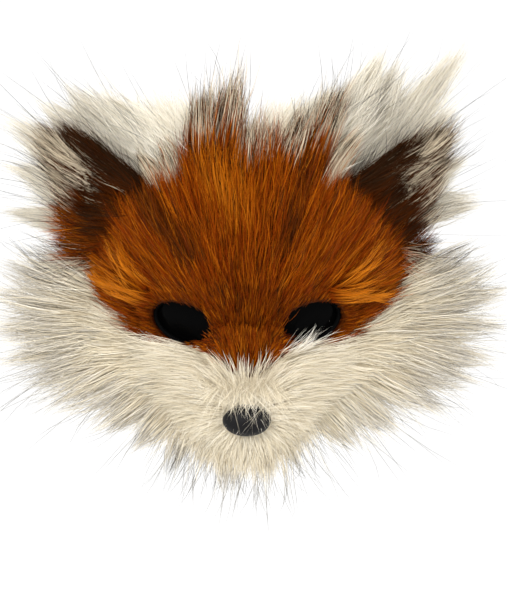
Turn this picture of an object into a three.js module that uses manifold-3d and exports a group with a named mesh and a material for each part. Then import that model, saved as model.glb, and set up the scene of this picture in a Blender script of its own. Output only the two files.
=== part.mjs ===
// A fox half mask for costume wear: a thin moulded shell under long-pile fur, with two cupped ears,
// fur masses behind them, a nose pad, two dark eye lenses and an elastic strap.
// Millimetres, +Z up. The face looks towards -Y, and the wearer's head is on the +Y side.
// The origin is on the shell's inner face at the bridge of the nose, just above the middle of the eyes.

import * as THREE from "three";
import { mergeVertices } from "three/addons/utils/BufferGeometryUtils.js";
import Module from "manifold-3d";

const wasm = await Module();
wasm.setup();

const { degToRad, lerp, smoothstep } = THREE.MathUtils;

// Clearances
const SEAT_GAP = 0.4; // between pieces that lie on each other
const RIM_GROWTH_SHARE = 1.6; // a clearance is larger upwards and downwards, as the rims slope
const TIP_GROWTH_SHARE = 5; // and at the point of a lock, which is narrow
const SLIVER = 0.05; // detail smaller than this is dropped
const EYE_GAP = 1.5; // how far the fur stays back from the rim of an eye opening

// Shell
const SHELL_WALL = 1.8;
const SHELL_HALF_WIDTH = 78;
const SHELL_RISE = 68; // bridge to the top edge, at the middle
const SHELL_DROP = 54; // bridge to the bottom edge, under the nose
const TEMPLE_WRAP = 42; // how far the side edges lie behind the bridge
const FOREHEAD_LEAN = 13; // how far the top edge leans back
const MUZZLE_REACH = 36; // how far the muzzle stands forward of the bridge
const MUZZLE_HALF_WIDTH = 25;
const BRIDGE_HALF_WIDTH = 13;
const MUZZLE_FULL_DROP = 34; // bridge to where the muzzle has its full reach

const HEAD_SPACE = 14; // behind the shell, kept clear of fur

// Eyes
const EYE_SPACING = 66; // between the centres of the openings
const EYE_DROP = 2.5; // bridge to their centres
const EYE_WIDTH = 31;
const EYE_HEIGHT = 22.5;
const EYE_SLANT = degToRad(3); // outer corners high
const LENS_WALL = 1.5;
const LENS_LAP = 3.5; // how far a lens reaches behind the rim of its opening

// Nose pad
const NOSE_WIDTH = 24;
const NOSE_HEIGHT = 16;
const NOSE_DEPTH = 15;
const NOSE_DROP = 33.5; // bridge to the middle of the nose
const NOSE_PROUD = 6.5; // its centre, in front of the shell
const NOSE_TILT = degToRad(-14);

// Fur
const FACE_FUR_DEPTH = 9;
const MUZZLE_FUR_DEPTH = 9;
const FUR_EDGE_DEPTH = 4;
const FUR_OVERHANG = 3; // past the shell's edges
const PANEL_BITE = 1; // how far a fur panel is drawn into the shell, before it is cut back
const SEAM_DROP = 18; // bridge to the seam between face fur and muzzle fur
const SEAM_LAP = 3; // how far the muzzle fur runs on towards the face fur, before it is cut back
const CROWN_PILE = 56; // hair length at the top edge
const CHEEK_PILE = 66;
const BEARD_PILE = 42;
const COAT_PILE = 34; // hair that lies flat on the face

// Ears
const EAR_HEIGHT = 50;
const EAR_WALL = 4;
const EAR_CUP = 12; // how deep the hollow of an ear is
const EAR_SPLAY = degToRad(29); // outwards from upright
const EAR_FORWARD = degToRad(11); // tips forward of their roots
const EAR_INNER_SHARE = 0.56; // where an ear meets the top edge, as shares of the shell's half width
const EAR_OUTER_SHARE = 1.02;
const EAR_PILE = 30;

// Fur masses behind the ears
const MASS_DEPTH = 10;
const MASS_RISE = 22; // how far their backing stands above the shell's edge
const MASS_LAP = 9; // how far it reaches down behind the shell
const MASS_LAP_DEPTH = 3;
const MASS_SET_BACK = 2; // from the shell's line to the front of its backing, beside the ear
const MASS_EAR_GAP = 2; // and behind the back of the ear's hollow
const MASS_INNER_SHARE = 0.03; // where it lies along the top edge, as shares of the shell's half width
const MASS_OUTER_SHARE = 0.9;
const MASS_LOCK_ROOT = 0.55; // where its locks start, as a share of its height
const MASS_PILE = 62;

// Elastic strap
const STRAP_WIDTH = 20;
const STRAP_THICKNESS = 1.4;
const HEAD_BACK = 158; // bridge of the nose to the strap behind the head
const HEAD_HALF_WIDTH = 74;
const STRAP_LAP = 0.2; // length glued inside the shell, as a share of the half width
const STRAP_LEAVE = 1.05; // where it turns away from the shell's line, as a share of the half width
const STRAP_TURNS = 12; // steps round the back of the head

// The shell's edges: heights as shares of its rise and drop, at shares of its half width
const TOP_EDGE = [
  { across: 0, height: 1 },
  { across: 0.3, height: 0.99 },
  { across: 0.56, height: 0.9 },
  { across: 0.8, height: 0.56 },
  { across: 1, height: 0.2 },
];
const BOTTOM_EDGE = [
  { across: 0, height: 1 },
  { across: 0.22, height: 0.97 },
  { across: 0.45, height: 0.76 },
  { across: 0.75, height: 0.58 },
  { across: 1, height: 0.42 },
];
// The seam under the eyes, as shares of its drop
const SEAM = [
  { across: 0, height: 1.2 },
  { across: 0.3, height: 0.88 },
  { across: 0.6, height: 1 },
  { across: 0.85, height: 0.55 },
  { across: 1, height: 0.3 },
];

// Crown locks along the top edge: length and width as shares of the crown pile, lean in degrees from upright
const CROWN_LOCKS = [
  { across: -0.5, length: 0.5, width: 0.22, lean: -30 },
  { across: -0.4, length: 0.6, width: 0.24, lean: -18 },
  { across: -0.27, length: 0.98, width: 0.26, lean: 2 },
  { across: -0.16, length: 1.16, width: 0.3, lean: 9 },
  { across: -0.04, length: 0.7, width: 0.28, lean: 6 },
  { across: 0.09, length: 0.6, width: 0.28, lean: 4 },
  { across: 0.22, length: 0.74, width: 0.28, lean: 14 },
  { across: 0.35, length: 1.06, width: 0.28, lean: 18 },
  { across: 0.46, length: 0.72, width: 0.24, lean: 30 },
];
// Rows of locks that lie on the face: height as a share of the rise, lengths as shares of the coat pile
const COAT_ROWS = [
  { height: 0.7, count: 5, reach: 0.42, length: 1.1, width: 0.6, lift: 0.22 },
  { height: 0.36, count: 6, reach: 0.66, length: 1.1, width: 0.6, lift: 0.2 },
];
// Cheek locks, the same on both sides: place as shares of the half width and the drop, length and width as
// shares of the cheek pile, turn in degrees up from level, rear as the tip's set-back, a share of the length
const CHEEK_LOCKS = [
  { across: 0.98, height: 0.04, length: 0.84, width: 0.28, turn: 32, rear: 0.1 },
  { across: 0.96, height: -0.08, length: 0.96, width: 0.3, turn: 21, rear: 0.08 },
  { across: 0.95, height: -0.18, length: 1.04, width: 0.32, turn: 9, rear: 0.06 },
  { across: 0.93, height: -0.3, length: 1.06, width: 0.32, turn: -3, rear: 0.05 },
  { across: 0.88, height: -0.4, length: 1.04, width: 0.32, turn: -14, rear: 0.02 },
  { across: 0.78, height: -0.48, length: 1.02, width: 0.32, turn: -20, rear: 0 },
  { across: 0.66, height: -0.56, length: 0.92, width: 0.32, turn: -28, rear: -0.05 },
  { across: 0.52, height: -0.66, length: 0.76, width: 0.3, turn: -39, rear: -0.08 },
  { across: 0.38, height: -0.8, length: 0.56, width: 0.28, turn: -46, rear: -0.08 },
  { across: 0.7, height: -0.34, length: 0.76, width: 0.3, turn: -4, rear: 0.35 },
  { across: 0.6, height: -0.5, length: 0.76, width: 0.28, turn: -16, rear: 0.3 },
  { across: 0.36, height: -0.58, length: 0.62, width: 0.26, turn: -20, rear: 0.5 },
];
// Beard locks under the nose: length and width as shares of the beard pile, lean in degrees out from plumb
const BEARD_LOCKS = [
  { across: -0.33, length: 1.05, width: 0.34, lean: -20 },
  { across: -0.2, length: 0.6, width: 0.34, lean: -14 },
  { across: -0.07, length: 0.66, width: 0.36, lean: -6 },
  { across: 0.07, length: 0.6, width: 0.36, lean: 6 },
  { across: 0.2, length: 0.56, width: 0.34, lean: 20 },
  { across: 0.33, length: 0.5, width: 0.32, lean: 34 },
];
// Ear locks: edge is -1 for the inner one and 1 for the outer one, along is the root's share of that edge,
// length and width are shares of the ear pile, turn is in degrees out from the ear's own axis
const EAR_LOCKS = [
  { edge: -1, along: 0.16, length: 1.0, width: 0.5, turn: 4 },
  { edge: -1, along: 0.56, length: 1.05, width: 0.5, turn: 2 },
  { edge: 1, along: 0.84, length: 0.85, width: 0.42, turn: 6 },
  { edge: 1, along: 0.62, length: 0.9, width: 0.46, turn: 16 },
  { edge: 1, along: 0.38, length: 0.95, width: 0.5, turn: 34 },
  { edge: 1, along: 0.12, length: 1.0, width: 0.5, turn: 60 },
];
// Locks of the two masses: root as a share of the mass's run, length and width as shares of the pile, lean in
// degrees outwards from upright
const LEFT_MASS_LOCKS = [
  { along: 0.12, length: 0.48, width: 0.34, lean: 26 },
  { along: 0.26, length: 0.57, width: 0.34, lean: 35 },
  { along: 0.4, length: 0.68, width: 0.36, lean: 44 },
  { along: 0.54, length: 0.89, width: 0.38, lean: 43 },
  { along: 0.68, length: 1.1, width: 0.4, lean: 42 },
  { along: 0.8, length: 1.2, width: 0.4, lean: 46 },
  { along: 0.9, length: 1.32, width: 0.38, lean: 54 },
  { along: 0.97, length: 1.16, width: 0.36, lean: 66 },
  { along: 1, length: 1.06, width: 0.36, lean: 84 },
];
const RIGHT_MASS_LOCKS = [
  { along: 0.12, length: 0.54, width: 0.34, lean: 26 },
  { along: 0.26, length: 0.72, width: 0.34, lean: 28 },
  { along: 0.4, length: 0.92, width: 0.36, lean: 28 },
  { along: 0.54, length: 1.1, width: 0.36, lean: 27 },
  { along: 0.66, length: 1.12, width: 0.38, lean: 28 },
  { along: 0.78, length: 1.1, width: 0.38, lean: 33 },
  { along: 0.86, length: 1.62, width: 0.34, lean: 32 },
  { along: 0.93, length: 1.2, width: 0.34, lean: 38 },
  { along: 0.98, length: 1.0, width: 0.36, lean: 56 },
  { along: 1, length: 1.0, width: 0.36, lean: 78 },
];
// The outline of a lock: radius as a share of its half width, at shares of its length
const LOCK_PROFILE = [
  { along: 0, radius: 0.6 },
  { along: 0.3, radius: 1 },
  { along: 0.65, radius: 0.78 },
  { along: 1, radius: 0 },
];
const LOCK_SIDES = 5;
const LOCK_FLATNESS = 0.5; // thickness over width

const COLOURS = {
  shell: { color: 0x1b1b1c, roughness: 0.5, metalness: 0 },
  orangeFur: { color: 0xa2500f, roughness: 0.9, metalness: 0 },
  earFur: { color: 0x54260c, roughness: 0.9, metalness: 0 },
  whiteFur: { color: 0xe6ddc8, roughness: 0.9, metalness: 0 },
  nose: { color: 0x1d1b1c, roughness: 0.7, metalness: 0 },
  lens: { color: 0x050506, roughness: 0.12, metalness: 0 },
  elastic: { color: 0x161617, roughness: 0.85, metalness: 0 },
};

const BEHIND = new THREE.Vector3(0, 1, 0);
const IN_FRONT = new THREE.Vector3(0, -1, 0);
// The open side of an ear
const EAR_FRONT = new THREE.Vector3(0, -Math.cos(EAR_FORWARD), -Math.sin(EAR_FORWARD));

// Reads a table's height column at a place across the face, joining its rows with a smooth curve.
function edgeHeight(table, across) {
  const at = Math.min(Math.abs(across), 1);
  const row = Math.max(1, table.findIndex((r) => r.across >= at));
  const [before, after] = [table[row - 1], table[row]];
  const slope = (i) => {
    const [low, high] = [table[Math.max(i - 1, 0)], table[Math.min(i + 1, table.length - 1)]];
    return i === 0 ? 0 : (high.height - low.height) / (high.across - low.across);
  };
  const span = after.across - before.across;
  const t = (at - before.across) / span;
  const [t2, t3] = [t * t, t * t * t];
  return (
    (2 * t3 - 3 * t2 + 1) * before.height +
    (t3 - 2 * t2 + t) * span * slope(row - 1) +
    (3 * t2 - 2 * t3) * after.height +
    (t3 - t2) * span * slope(row)
  );
}

const topEdge = (across) => SHELL_RISE * edgeHeight(TOP_EDGE, across);
const bottomEdge = (across) => -SHELL_DROP * edgeHeight(BOTTOM_EDGE, across);
const seamLine = (across) => -SEAM_DROP * edgeHeight(SEAM, across);

// How far the shell's inner face lies behind the bridge of the nose: the wrap round the temples, plus the
// lean of the forehead, less the muzzle, which is a ridge that widens and stands out below the bridge.
function faceDepth(x, z) {
  const wrap = TEMPLE_WRAP * Math.pow(Math.abs(x) / SHELL_HALF_WIDTH, 2.2);
  const lean = FOREHEAD_LEAN * Math.pow(Math.max(z, 0) / SHELL_RISE, 1.5);
  const out = smoothstep(-z, 0, MUZZLE_FULL_DROP);
  const halfWidth = lerp(BRIDGE_HALF_WIDTH, MUZZLE_HALF_WIDTH, out);
  return wrap + lean - MUZZLE_REACH * out * Math.exp(-Math.pow(x / halfWidth, 2));
}

const facePoint = (x, z) => new THREE.Vector3(x, faceDepth(x, z), z);

// The direction out of the face, towards the front.
function faceNormal(x, z) {
  const step = 0.5;
  const right = facePoint(x + step, z).sub(facePoint(x - step, z));
  const up = facePoint(x, z + step).sub(facePoint(x, z - step));
  return right.cross(up).normalize();
}

// A point in front of the shell's inner face by a distance along the normal.
const offFace = (x, z, out) => facePoint(x, z).addScaledVector(faceNormal(x, z), out);
const onShell = SHELL_WALL + SEAT_GAP;

// Makes a closed mesh into a solid. One laid out for the mirrored side has its faces turned round first.
function solid(geometry) {
  const bare = new THREE.BufferGeometry();
  bare.setAttribute("position", geometry.getAttribute("position"));
  if (geometry.index) bare.setIndex(geometry.index);
  const merged = mergeVertices(bare, 1e-4);
  const faces = [];
  const index = merged.index.array;
  for (let i = 0; i < index.length; i += 3) {
    const [a, b, c] = [index[i], index[i + 1], index[i + 2]];
    if (a !== b && b !== c && c !== a) faces.push([a, b, c]);
  }
  const make = (list) =>
    new wasm.Manifold(
      new wasm.Mesh({
        numProp: 3,
        vertProperties: merged.attributes.position.array,
        triVerts: new Uint32Array(list.flat()),
      }),
    );
  const made = make(faces);
  return made.volume() < 0 ? make(faces.map(([a, b, c]) => [a, c, b])) : made;
}

// The largest body of a solid, without the slivers that a cut leaves loose.
function mainBody(shape) {
  return shape.decompose().reduce((best, body) => (body.volume() > best.volume() ? body : best));
}

const join = (solids) => solids.reduce((whole, next) => whole.add(next));
const cut = (shape, ...tools) => mainBody(tools.reduce((rest, tool) => rest.subtract(tool), shape));

// A closed sheet between two surfaces, front(s, t) and back(s, t), with s and t from 0 to 1.
function sheet(front, back, columns, rows) {
  const positions = [];
  const faces = [];
  const wide = columns + 1;
  const layer = wide * (rows + 1);
  for (const surface of [front, back])
    for (let j = 0; j <= rows; j++)
      for (let i = 0; i <= columns; i++) positions.push(...surface(i / columns, j / rows).toArray());
  const quad = (a, b, c, d) => faces.push(a, b, c, a, c, d);
  for (let j = 0; j < rows; j++)
    for (let i = 0; i < columns; i++) {
      const a = j * wide + i;
      quad(a, a + 1, a + 1 + wide, a + wide);
      quad(layer + a, layer + a + wide, layer + a + 1 + wide, layer + a + 1);
    }
  for (let i = 0; i < columns; i++) {
    const top = rows * wide + i;
    quad(i, layer + i, layer + i + 1, i + 1);
    quad(top, top + 1, layer + top + 1, layer + top);
  }
  for (let j = 0; j < rows; j++) {
    const [left, right] = [j * wide, j * wide + columns];
    quad(left, left + wide, layer + left + wide, layer + left);
    quad(right, layer + right, layer + right + wide, right + wide);
  }
  const geometry = new THREE.BufferGeometry();
  geometry.setAttribute("position", new THREE.Float32BufferAttribute(positions, 3));
  geometry.setIndex(faces);
  return solid(geometry);
}

// -1 at the start of a sheet, 1 at its end and 0 between
const rimSide = (share) => (share === 1) - (share === 0);

// A sheet that follows the face between two heights, low(across) and high(across), from one distance off the
// shell's inner face to another. It can be made larger all round, to cut a clearance for itself.
function faceSheet({ reach = 1, low, high, inner, outer, columns, rows }, grow = 0) {
  const at = (depth) => (s, t) => {
    const across = lerp(-reach, reach, s);
    const x = across * SHELL_HALF_WIDTH + grow * rimSide(s);
    const z = lerp(low(across), high(across), t) + RIM_GROWTH_SHARE * grow * rimSide(t);
    return offFace(x, z, depth(t));
  };
  const [front, back] = [(t) => outer(t) + grow, (t) => inner(t) - grow];
  return sheet(at(front), at(back), columns, rows);
}

// One lock of hair: a unit spindle turned on the lathe, flattened and bent along a path. out is the
// direction of its thin side.
function lock(path, out, width, grow = 0) {
  const profile = [new THREE.Vector2(0, 0)];
  for (const { along, radius } of LOCK_PROFILE) profile.push(new THREE.Vector2(radius, along));
  const shape = new THREE.LatheGeometry(profile, LOCK_SIDES);
  const place = shape.getAttribute("position");
  const [halfWidth, halfDepth] = [width / 2 + grow, (width * LOCK_FLATNESS) / 2 + grow];
  for (let i = 0; i < place.count; i++) {
    const along = place.getY(i);
    const point = path.getPoint(along);
    const ahead = path.getTangent(along);
    const side = new THREE.Vector3().crossVectors(ahead, out).normalize();
    const thin = new THREE.Vector3().crossVectors(side, ahead);
    point.addScaledVector(ahead, grow * lerp(-1, TIP_GROWTH_SHARE, along));
    point.addScaledVector(side, place.getX(i) * halfWidth).addScaledVector(thin, place.getZ(i) * halfDepth);
    place.setXYZ(i, point.x, point.y, point.z);
  }
  return solid(shape);
}

// A lock's path: it leaves its root along one direction, lifted off the surface, and ends in another.
function lockPath(root, ahead, out, length, lift, endDirection = ahead) {
  const middle = root.clone().addScaledVector(ahead, length * 0.5).addScaledVector(out, lift * length);
  const tip = root.clone().addScaledVector(endDirection, length);
  return new THREE.QuadraticBezierCurve3(root, middle, tip);
}

// An upright direction in the plane of the face, leaning to the side by degrees.
const leaning = (degrees, rear = 0) =>
  new THREE.Vector3(Math.sin(degToRad(degrees)), rear, Math.cos(degToRad(degrees))).normalize();

// Where hair lies flat it runs away from the nose, along the surface.
function combed(x, z) {
  const away = new THREE.Vector3(x, 0, z + NOSE_DROP).normalize();
  const normal = faceNormal(x, z);
  return away.addScaledVector(normal, -away.dot(normal)).normalize();
}

// The prism of one eye opening, through everything in front of the head.
function eyeOpening(side, grow) {
  const outline = new THREE.Shape();
  outline.absellipse(0, 0, EYE_WIDTH / 2 + grow, EYE_HEIGHT / 2 + grow, 0, 2 * Math.PI, false, 0);
  const reach = MUZZLE_REACH + TEMPLE_WRAP;
  const straight = { depth: 2 * reach, bevelEnabled: false, curveSegments: 9 };
  const prism = new THREE.ExtrudeGeometry(outline, straight);
  prism.translate(0, 0, -reach);
  prism.rotateX(Math.PI / 2);
  prism.rotateY(-side * EYE_SLANT);
  prism.translate((side * EYE_SPACING) / 2, 0, -EYE_DROP);
  return solid(prism);
}

// A closed sheet over the whole face, between two distances in front of the shell's inner face.
function headSheet(inner, outer, grow = 0) {
  const extent = { low: bottomEdge, high: topEdge, inner: () => inner, outer: () => outer };
  return faceSheet({ ...extent, columns: 20, rows: 10 }, grow);
}

const shell = () => cut(headSheet(0, SHELL_WALL), eyeOpening(-1, 0), eyeOpening(1, 0));

// A lens lies against the inside of the shell and laps behind the rim of its opening.
const lens = (side) => headSheet(-SEAT_GAP - LENS_WALL, -SEAT_GAP).intersect(eyeOpening(side, LENS_LAP));

function noseBall(grow) {
  const ball = new THREE.SphereGeometry(1, 14, 8);
  ball.scale(NOSE_WIDTH / 2 + grow, NOSE_DEPTH / 2 + grow, NOSE_HEIGHT / 2 + grow);
  ball.rotateX(NOSE_TILT);
  const seat = offFace(0, -NOSE_DROP, SHELL_WALL + NOSE_PROUD);
  ball.translate(seat.x, seat.y, seat.z);
  return solid(ball);
}

// A fur panel on the shell: full depth over its middle, thinner at its upper and lower rims.
function furPanel({ low, high, depth, columns }, grow) {
  const outer = (t) => onShell + lerp(FUR_EDGE_DEPTH, depth, smoothstep(0.5 - Math.abs(t - 0.5), 0, 0.25));
  const reach = 1 + FUR_OVERHANG / SHELL_HALF_WIDTH;
  return faceSheet({ reach, low, high, inner: () => onShell - PANEL_BITE, outer, columns, rows: 6 }, grow);
}

function crownLocks(grow) {
  return CROWN_LOCKS.map(({ across, length, width, lean }) => {
    const [x, z] = [across * SHELL_HALF_WIDTH, topEdge(across) - FUR_OVERHANG];
    const out = faceNormal(x, z);
    const root = offFace(x, z, onShell + FUR_EDGE_DEPTH / 2);
    const path = lockPath(root, leaning(lean * 0.5), out, length * CROWN_PILE, 0.04, leaning(lean));
    return lock(path, out, width * CROWN_PILE, grow);
  });
}

function coatLocks(grow) {
  return COAT_ROWS.flatMap(({ height, count, reach, length, width, lift }) =>
    Array.from({ length: count }, (_, i) => {
      const x = lerp(-reach, reach, i / (count - 1)) * SHELL_HALF_WIDTH;
      const z = height * SHELL_RISE * (1 - 0.25 * Math.pow(x / SHELL_HALF_WIDTH, 2));
      const normal = faceNormal(x, z);
      const root = offFace(x, z, onShell + FACE_FUR_DEPTH - (width * COAT_PILE * LOCK_FLATNESS) / 2);
      const path = lockPath(root, combed(x, z), normal, length * COAT_PILE, lift);
      return lock(path, normal, width * COAT_PILE, grow);
    }),
  );
}

function faceFur(grow = 0) {
  const high = (across) => topEdge(across) + FUR_OVERHANG;
  const panel = furPanel({ low: seamLine, high, depth: FACE_FUR_DEPTH, columns: 16 }, grow);
  const whole = join([panel, ...crownLocks(grow), ...coatLocks(grow)]);
  return grow ? whole : cut(whole, eyeOpening(-1, EYE_GAP), eyeOpening(1, EYE_GAP));
}

function cheekLocks(grow) {
  return [-1, 1].flatMap((side) =>
    CHEEK_LOCKS.map(({ across, height, length, width, turn, rear }) => {
      const [x, z] = [side * across * SHELL_HALF_WIDTH, height * SHELL_DROP];
      const normal = faceNormal(x, z);
      const size = width * CHEEK_PILE;
      const root = offFace(x, z, onShell + MUZZLE_FUR_DEPTH * 0.55);
      const end = new THREE.Vector3(side * Math.cos(degToRad(turn)), rear, Math.sin(degToRad(turn)));
      const path = lockPath(root, end.normalize(), normal, length * CHEEK_PILE, 0.1);
      return lock(path, normal.lerp(IN_FRONT, 0.6).normalize(), size, grow);
    }),
  );
}

function beardLocks(grow) {
  return BEARD_LOCKS.map(({ across, length, width, lean }) => {
    const [x, z] = [across * SHELL_HALF_WIDTH, bottomEdge(across) + FUR_OVERHANG];
    const root = offFace(x, z, onShell + FUR_EDGE_DEPTH * 0.6);
    const down = new THREE.Vector3(Math.sin(degToRad(lean)), -0.1, -Math.cos(degToRad(lean))).normalize();
    return lock(lockPath(root, down, IN_FRONT, length * BEARD_PILE, 0.1), IN_FRONT, width * BEARD_PILE, grow);
  });
}

function muzzleFur(grow = 0) {
  const low = (across) => bottomEdge(across) - FUR_OVERHANG;
  const high = (across) => seamLine(across) + SEAM_LAP;
  const panel = furPanel({ low, high, depth: MUZZLE_FUR_DEPTH, columns: 16 }, grow);
  return join([panel, ...cheekLocks(grow), ...beardLocks(grow)]);
}

// A point of an ear: s from the inner edge at -1 to the outer edge at 1, t from the root to the tip. The root
// follows the shell's top edge, the edges draw in towards the tip, and the middle is hollow.
function earPoint(side, s, t, out, grow = 0) {
  const root = (at) => {
    const across = lerp(EAR_INNER_SHARE, EAR_OUTER_SHARE, (at + 1) / 2);
    return offFace(side * across * SHELL_HALF_WIDTH, topEdge(across) + 2 * SEAT_GAP, SHELL_WALL / 2);
  };
  const hollow = EAR_CUP * (1 - s * s) * Math.pow(Math.sin(Math.PI * Math.pow(t, 0.8)), 2);
  const width = root(1).sub(root(-1)).normalize();
  return root(0)
    .addScaledVector(root(s).sub(root(0)), Math.pow(1 - t, 0.7))
    .addScaledVector(width, grow * s)
    .addScaledVector(earAxis(side), EAR_HEIGHT * t + grow * rimSide(t))
    .addScaledVector(EAR_FRONT, out - hollow);
}

// The way an ear points: it splays outwards and tips forward.
const earAxis = (side) =>
  new THREE.Vector3(
    side * Math.sin(EAR_SPLAY) * Math.cos(EAR_FORWARD),
    -Math.sin(EAR_FORWARD),
    Math.cos(EAR_SPLAY) * Math.cos(EAR_FORWARD),
  );

function ear(side, grow = 0) {
  const at = (out) => (s, t) => earPoint(side, lerp(-1, 1, s), 0.97 * t, out, grow);
  const cup = sheet(at(EAR_WALL / 2 + grow), at(-EAR_WALL / 2 - grow), 6, 6);
  const locks = EAR_LOCKS.map(({ edge, along, length, width, turn }) => {
    const root = earPoint(side, edge * 0.94, along, 0);
    const ahead = earAxis(side).applyAxisAngle(EAR_FRONT, -side * degToRad(turn));
    return lock(lockPath(root, ahead, EAR_FRONT, length * EAR_PILE, 0.05), EAR_FRONT, width * EAR_PILE, grow);
  });
  return join([cup, ...locks]);
}

// The backing of a mass is glued inside the shell's top edge and stands up behind the ear, clear of its
// hollow.
function earMass(side, locks) {
  const place = (along, up, out) => {
    const across = lerp(MASS_INNER_SHARE, MASS_OUTER_SHARE, along);
    const [x, edge] = [side * across * SHELL_HALF_WIDTH, topEdge(across)];
    const rise = lerp(-MASS_LAP, MASS_RISE, up);
    const point = facePoint(x, edge + Math.min(rise, 0)).add(new THREE.Vector3(0, SEAT_GAP, 0));
    const back = smoothstep(rise, -MASS_LAP / 2, MASS_RISE / 2);
    const clearOfEar = EAR_CUP + EAR_WALL / 2 + MASS_EAR_GAP;
    const behindEar = lerp(MASS_SET_BACK, clearOfEar, smoothstep(across, 0.4, 0.65));
    point.z = edge + rise;
    point.y += behindEar * back + out * lerp(MASS_LAP_DEPTH, MASS_DEPTH, back);
    return point;
  };
  const pad = sheet((s, t) => place(s, t, 0), (s, t) => place(s, t, 1), 9, 4);
  const tufts = locks.map(({ along, length, width, lean }) => {
    const ahead = leaning(lean, 0.06);
    ahead.x *= side;
    const path = lockPath(place(along, MASS_LOCK_ROOT, 0.5), ahead, BEHIND, length * MASS_PILE, 0.06);
    return lock(path, BEHIND, width * MASS_PILE);
  });
  return join([pad, ...tufts]);
}

// The strap is glued inside the shell at the temples and runs round the back of the head. Each level of it
// has its own line, so that its ends follow the shell.
function strap() {
  const glued = [1 - STRAP_LAP, 1 - STRAP_LAP / 2, 1, STRAP_LEAVE];
  const inside = (share, side, z) =>
    offFace(side * share * SHELL_HALF_WIDTH, z, -SEAT_GAP - STRAP_THICKNESS / 2);
  const line = (z) => {
    const start = inside(1, 1, z).y;
    const round = Array.from({ length: STRAP_TURNS - 1 }, (_, i) => {
      const angle = (Math.PI * (i + 1)) / STRAP_TURNS;
      const half = lerp(HEAD_HALF_WIDTH, STRAP_LEAVE * SHELL_HALF_WIDTH, Math.pow(Math.cos(angle), 4));
      return new THREE.Vector3(-half * Math.cos(angle), start + (HEAD_BACK - start) * Math.sin(angle), z);
    });
    const left = glued.map((share) => inside(share, -1, z));
    const right = glued.toReversed().map((share) => inside(share, 1, z));
    return new THREE.CatmullRomCurve3([...left, ...round, ...right]);
  };
  const lines = [line(-STRAP_WIDTH / 2), line(STRAP_WIDTH / 2)];
  const face = (out) => (s, t) => {
    const path = lines[t];
    const across = new THREE.Vector3().crossVectors(path.getTangentAt(s), new THREE.Vector3(0, 0, 1));
    return path.getPointAt(s).addScaledVector(across.normalize(), out);
  };
  return sheet(face(-STRAP_THICKNESS / 2), face(STRAP_THICKNESS / 2), 46, 1);
}

// Turns a solid back into a mesh with flat faces, without the sliver facets that cuts leave.
function mesh(name, shape, look) {
  const { numProp, numVert, vertProperties, triVerts } = shape.simplify(SLIVER).getMesh();
  const places = new Float32Array(numVert * 3);
  for (let i = 0; i < numVert; i++) places.set(vertProperties.subarray(i * numProp, i * numProp + 3), i * 3);
  const geometry = new THREE.BufferGeometry();
  geometry.setAttribute("position", new THREE.BufferAttribute(places, 3));
  geometry.setIndex(new THREE.BufferAttribute(triVerts, 1));
  const flat = geometry.toNonIndexed();
  flat.computeVertexNormals();
  const made = new THREE.Mesh(flat, new THREE.MeshStandardMaterial(look));
  made.name = name;
  return made;
}

// The shell with its gap, alone and together with the space of the wearer's head behind it
const shellClearance = headSheet(0, SHELL_WALL, SEAT_GAP);
const head = headSheet(-HEAD_SPACE, SHELL_WALL, SEAT_GAP);
const ears = { left: cut(ear(-1), head), right: cut(ear(1), head) };
const earClearance = [ear(-1, SEAT_GAP), ear(1, SEAT_GAP)];
const nose = cut(noseBall(0), head);
const face = cut(faceFur(), head, ...earClearance);
const faceClearance = faceFur(SEAT_GAP);
const muzzle = cut(muzzleFur(), head, noseBall(SEAT_GAP), faceClearance, ...earClearance);
const muzzleClearance = muzzleFur(SEAT_GAP);
const masses = {
  left: cut(earMass(-1, LEFT_MASS_LOCKS), shellClearance, ...earClearance, faceClearance, muzzleClearance),
  right: cut(earMass(1, RIGHT_MASS_LOCKS), shellClearance, ...earClearance, faceClearance, muzzleClearance),
};

const mask = new THREE.Group();
mask.add(
  mesh("mask_shell", shell(), COLOURS.shell),
  mesh("face_fur", face, COLOURS.orangeFur),
  mesh("muzzle_fur", muzzle, COLOURS.whiteFur),
  mesh("ear_left", ears.left, COLOURS.earFur),
  mesh("ear_right", ears.right, COLOURS.earFur),
  mesh("back_fur_left", masses.left, COLOURS.whiteFur),
  mesh("back_fur_right", masses.right, COLOURS.whiteFur),
  mesh("nose_pad", nose, COLOURS.nose),
  mesh("eye_lens_left", lens(-1), COLOURS.lens),
  mesh("eye_lens_right", lens(1), COLOURS.lens),
  mesh("elastic_strap", strap(), COLOURS.elastic),
);

export default mask;
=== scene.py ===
import math
from typing import NamedTuple

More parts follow.
